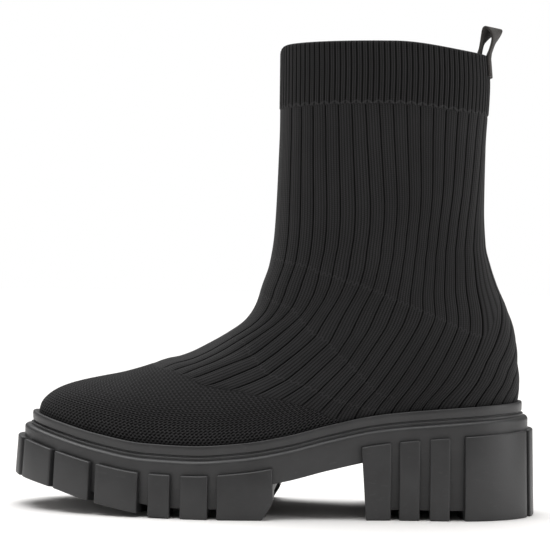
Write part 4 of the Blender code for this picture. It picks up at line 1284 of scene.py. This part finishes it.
class BOOT_OT_midsole(bpy.types.Operator):
    """Run the platform's side round the boot, with its ledge, and close it above and below"""
    bl_idname = "boot.midsole"
    bl_label = "Midsole"

    def execute(self, context):
        corners = (
            (WELT_WIDTH - 0.0005, 0.0, False),
            (MIDSOLE_WIDTH - 0.0011, 0.55 * MIDSOLE_LEDGE, True),
            (MIDSOLE_WIDTH, MIDSOLE_LEDGE + 0.0008, True),
            (MIDSOLE_WIDTH, MIDSOLE_THICKNESS, True),
            (MIDSOLE_WIDTH - 0.0030, MIDSOLE_THICKNESS, False),
        )
        midsole = swept_band("midsole_slab", rounded(corners, 0.0007), midsole_top)
        merge_doubles(midsole)
        close_ends(midsole)
        rubber = moulded_rubber(context.scene.boot_colours, "sole_rubber", 0.46, 1.0)
        finished(midsole, rubber, "rubber", "midsole", smooth_angle=40)
        return {"FINISHED"}


def forepart_bottom(x):
    """Underside of the forepart lugs, with the slant behind the last of them."""
    return tread_bottom(x) + CHAMFER_SLOPE * np.maximum(x - (station_x(FOREPART_END) - REAR_CHAMFER), 0.0)


def heel_bottom(x):
    return 0.0 * x


def wrapped_block(name, sections, bottom, rounding, rake=0.0):
    """A cube cut across its length, bent along the sole's edge and rounded; sections are point and way out."""
    deselect_all()
    bpy.ops.mesh.primitive_cube_add(size=2.0)
    block = bpy.context.object
    block.name = name
    bpy.ops.object.mode_set(mode="EDIT")
    bpy.ops.mesh.select_mode(type="EDGE")
    bpy.ops.mesh.select_all(action="DESELECT")
    bpy.ops.object.mode_set(mode="OBJECT")
    for edge in block.data.edges:
        ends = [block.data.vertices[i].co for i in edge.vertices]
        edge.select = abs(ends[0].x - ends[1].x) > 1.0
    bpy.ops.object.mode_set(mode="EDIT")
    if len(sections) > 2:
        bpy.ops.mesh.subdivide(number_cuts=len(sections) - 2)
    bpy.ops.object.mode_set(mode="OBJECT")
    for vertex in block.data.vertices:
        i = round((vertex.co.x + 1) / 2 * (len(sections) - 1))
        point, out_way = sections[i]
        low = vertex.co.z < 0
        if vertex.co.y > 0:
            out = LUG_PROUD + (LUG_LEAN if low else 0.0)
        else:
            out = -LUG_REACH
        x, y = point + out_way * out
        z = float(bottom(x) if low else lug_top(x))
        if i == 0:
            x += rake * (1 - z / float(lug_top(x)))
        vertex.co = (x, y, z)
    bevel = block.modifiers.new("rounding", "BEVEL")
    bevel.width = rounding
    bevel.segments = 3
    bevel.limit_method = "ANGLE"
    bevel.angle_limit = math.radians(28)
    bpy.ops.object.modifier_apply(modifier="rounding")
    face_outwards(block)
    return block


def forward_out(normal):
    """The way out of the sole's edge, drawn a little forward as the whole sole is."""
    return normal - np.array((SOLE_FORWARD, 0.0)) * abs(normal[0])


def side_lug(name, line, xs, bottom, rounding, rake=0.0):
    sections = []
    for x in xs:
        point, normal = line.place(line.at_x(x))
        sections.append((point, np.array((0.0, 1.0 / normal[1]))))
    return wrapped_block(name, sections, bottom, rounding, rake)


def round_lug(name, lines, start, end, bottom, rounding, pieces=8):
    sections = []
    for i in range(pieces + 1):
        distance = start + (end - start) * i / pieces
        line = lines[-1] if distance < 0 else lines[1]
        point, normal = line.place(distance)
        sections.append((point, forward_out(normal)))
    return wrapped_block(name, sections, bottom, rounding)


def sole_plate(name, first_x, last_x, low, high):
    """Plate under the midsole: a band closed above and below, then cut straight across at its ends."""
    plan = outline(MIDSOLE_WIDTH + PLATE_PROUD, SWEEP_STEPS)
    rings = []
    for height in (high, low):
        ring = np.column_stack((plan, height(plan[:, 0])))
        rings.append(np.vstack((ring, ring[:1])))
    plate = laid_sheet(name, np.array(rings))
    merge_doubles(plate)
    close_ends(plate)
    for x, way in ((first_x, -1.0), (last_x, 1.0)):
        if x is None:
            continue
        bpy.ops.object.mode_set(mode="EDIT")
        bpy.ops.mesh.select_all(action="SELECT")
        bpy.ops.mesh.bisect(plane_co=(x, 0.0, 0.0), plane_no=(way, 0.0, 0.0), use_fill=True, clear_outer=True)
        bpy.ops.object.mode_set(mode="OBJECT")
    return plate


class BOOT_OT_outsole(bpy.types.Operator):
    """Build the forepart tread: its plate and the lugs round its edge"""
    bl_idname = "boot.outsole"
    bl_label = "Outsole"

    def execute(self, context):
        scene = context.scene
        rounding = scene.boot_sizes.edge_round
        last_x = station_x(FOREPART_END)
        pieces = [sole_plate("outsole_plate", None, last_x - CLEARANCE,
                             lambda x: forepart_bottom(x) + LUG_DEPTH,
                             lambda x: midsole_bottom(x) + PLATE_LAP)]
        lines = {side: EdgeLine(side) for side in (-1, 1)}
        pieces.append(round_lug("toe_lug", lines, -TOE_LUG_HALF, TOE_LUG_HALF, forepart_bottom, rounding))
        for side, line in lines.items():
            start, end = (side * distance for distance in TOE_SIDE_LUG)
            pieces.append(round_lug("toe_side_lug", lines, start, end, forepart_bottom, rounding))
            for row in FOREPART_LUGS:
                if row.end < TOE_ROUND:
                    ends = [side * line.at_x(station_x(share)) for share in row]
                    pieces.append(round_lug("lug", lines, *ends, forepart_bottom, rounding))
                    continue
                xs = list(np.linspace(station_x(row.start), station_x(row.end), 5))
                slant = last_x - REAR_CHAMFER
                if xs[0] < slant < xs[-1]:
                    xs = list(np.linspace(xs[0], slant, 4)) + [xs[-1]]
                pieces.append(side_lug("lug", line, xs, forepart_bottom, rounding))
        tread = joined("outsole_tread", *pieces)
        rubber = moulded_rubber(scene.boot_colours, "tread_rubber", 0.46, 1.0)
        finished(tread, rubber, "rubber", "outsole", smooth_angle=35)
        return {"FINISHED"}


class BOOT_OT_heel(bpy.types.Operator):
    """Build the block heel: its core and the lugs and upright grooves round it"""
    bl_idname = "boot.heel"
    bl_label = "Heel"

    def execute(self, context):
        scene = context.scene
        rounding = scene.boot_sizes.edge_round
        pieces = [sole_plate("heel_core", station_x(HEEL_START) + HEEL_RAKE, None,
                             lambda x: heel_bottom(x) + LUG_DEPTH,
                             lambda x: midsole_bottom(x) + PLATE_LAP)]
        lines = {side: EdgeLine(side, from_heel=True) for side in (-1, 1)}
        pieces.append(round_lug("back_lug", lines, -BACK_LUG_HALF, BACK_LUG_HALF, heel_bottom, rounding))
        for side, line in lines.items():
            start, end = (side * distance for distance in BACK_SIDE_LUG)
            pieces.append(round_lug("back_side_lug", lines, start, end, heel_bottom, rounding, 12))
            for i, row in enumerate(HEEL_LUGS):
                xs = np.linspace(station_x(row.start), station_x(row.end), 4)
                rake = HEEL_RAKE if i == 0 else 0.0
                pieces.append(side_lug("heel_lug", line, xs, heel_bottom, rounding, rake))
        heel = joined("heel_block", *pieces)
        rubber = moulded_rubber(scene.boot_colours, "heel_rubber", 0.46, 1.0)
        finished(heel, rubber, "rubber", "heel", smooth_angle=35)
        return {"FINISHED"}


class BOOT_OT_stage(bpy.types.Operator):
    """Set the pale floor, the soft studio light and the camera"""
    bl_idname = "boot.stage"
    bl_label = "Stage"

    def execute(self, context):
        scene = context.scene
        deselect_all()
        bpy.ops.mesh.primitive_plane_add(size=24.0, location=(0.0, 0.0, 0.0))
        floor = context.object
        floor.name = "floor"
        finish = Finish("pale_floor", Specular_IOR_Level=0.0)
        cloud = finish.noise(0.4, 2.0)
        colour = finish.blend(cloud, (0.90, 0.89, 0.88), (0.92, 0.91, 0.90))
        floor.data.materials.append(finish.finish(colour, 0.9, cloud, 0.0001, 0.1))

        world = scene.world or bpy.data.worlds.new("studio")
        scene.world = world
        world.use_nodes = True
        tree = world.node_tree
        tree.nodes.clear()
        out = tree.nodes.new("ShaderNodeOutputWorld")
        seen = tree.nodes.new("ShaderNodeBackground")
        seen.inputs["Color"].default_value = (1.0, 1.0, 1.0, 1.0)
        seen.inputs["Strength"].default_value = 1.0
        lit = tree.nodes.new("ShaderNodeBackground")
        lit.inputs["Color"].default_value = (1.0, 0.98, 0.96, 1.0)
        lit.inputs["Strength"].default_value = 0.22
        path = tree.nodes.new("ShaderNodeLightPath")
        mix = tree.nodes.new("ShaderNodeMixShader")
        tree.links.new(path.outputs["Is Camera Ray"], mix.inputs[0])
        tree.links.new(lit.outputs[0], mix.inputs[1])
        tree.links.new(seen.outputs[0], mix.inputs[2])
        tree.links.new(mix.outputs[0], out.inputs[0])

        for name, place, turn, size, power in (
            ("softbox_above", (-0.3, -0.5, 1.6), (math.radians(-18), math.radians(-10), 0.0), (1.6, 1.2), 8.0),
            ("softbox_toe", (-1.3, -0.5, 0.5), (math.radians(75), 0.0, math.radians(-68)), (0.5, 1.0), 1.5),
            ("softbox_heel", (1.3, -0.3, 0.5), (math.radians(75), 0.0, math.radians(76)), (0.5, 1.0), 5.0),
        ):
            deselect_all()
            bpy.ops.object.light_add(type="AREA", location=place, rotation=turn)
            lamp = context.object
            lamp.name = name
            lamp.data.shape = "RECTANGLE"
            lamp.data.size, lamp.data.size_y = size
            lamp.data.energy = power
        bpy.ops.object.light_add(type="SUN", rotation=(math.radians(-16), math.radians(-6), 0.0))
        sky = context.object
        sky.name = "ceiling_glow"
        sky.data.angle = math.radians(60)
        sky.data.energy = 3.3

        bpy.ops.object.camera_add(location=CAMERA_PLACE)
        camera = context.object
        camera.name = "camera"
        camera.data.sensor_width = 36.0
        camera.data.lens = FOCAL_PIXELS / PHOTO_PIXELS * camera.data.sensor_width
        camera.data.clip_start = 0.02
        camera.data.clip_end = 60.0
        facing = Euler((math.radians(90.0), 0.0, math.radians(CAMERA_TURN))).to_matrix()
        roll = Matrix.Rotation(math.radians(CAMERA_ROLL), 3, "Z")
        camera.rotation_euler = (facing @ roll).to_euler()
        scene.camera = camera
        scene.view_settings.view_transform = "Standard"
        return {"FINISHED"}


class BOOT_PT_pieces(bpy.types.Panel):
    """Sizes, colours and one button for each piece of the boot"""
    bl_idname = "BOOT_PT_pieces"
    bl_label = "Knitted Platform Boot"
    bl_space_type = "VIEW_3D"
    bl_region_type = "UI"
    bl_category = "Boot"

    def draw(self, context):
        for group in (context.scene.boot_sizes, context.scene.boot_colours):
            for label in group.bl_rna.properties.keys():
                if label not in {"rna_type", "name"}:
                    self.layout.prop(group, label)
        for operator in OPERATORS:
            self.layout.operator(operator.bl_idname)


OPERATORS = (
    BOOT_OT_ribbed_body,
    BOOT_OT_mesh_toe,
    BOOT_OT_cuff,
    BOOT_OT_inside,
    BOOT_OT_pull_loop,
    BOOT_OT_welt,
    BOOT_OT_midsole,
    BOOT_OT_outsole,
    BOOT_OT_heel,
    BOOT_OT_stage,
)
CLASSES = (BootSizes, BootColours, *OPERATORS, BOOT_PT_pieces)


def register():
    for cls in CLASSES:
        bpy.utils.register_class(cls)
    bpy.types.Scene.boot_sizes = PointerProperty(type=BootSizes)
    bpy.types.Scene.boot_colours = PointerProperty(type=BootColours)


def unregister():
    del bpy.types.Scene.boot_colours
    del bpy.types.Scene.boot_sizes
    for cls in reversed(CLASSES):
        bpy.utils.unregister_class(cls)


def main():
    register()
    bpy.ops.boot.ribbed_body()
    bpy.ops.boot.mesh_toe()
    bpy.ops.boot.cuff()
    bpy.ops.boot.inside()
    bpy.ops.boot.pull_loop()
    bpy.ops.boot.welt()
    bpy.ops.boot.midsole()
    bpy.ops.boot.outsole()
    bpy.ops.boot.heel()
    bpy.ops.boot.stage()


if __name__ == "__main__":
    main()
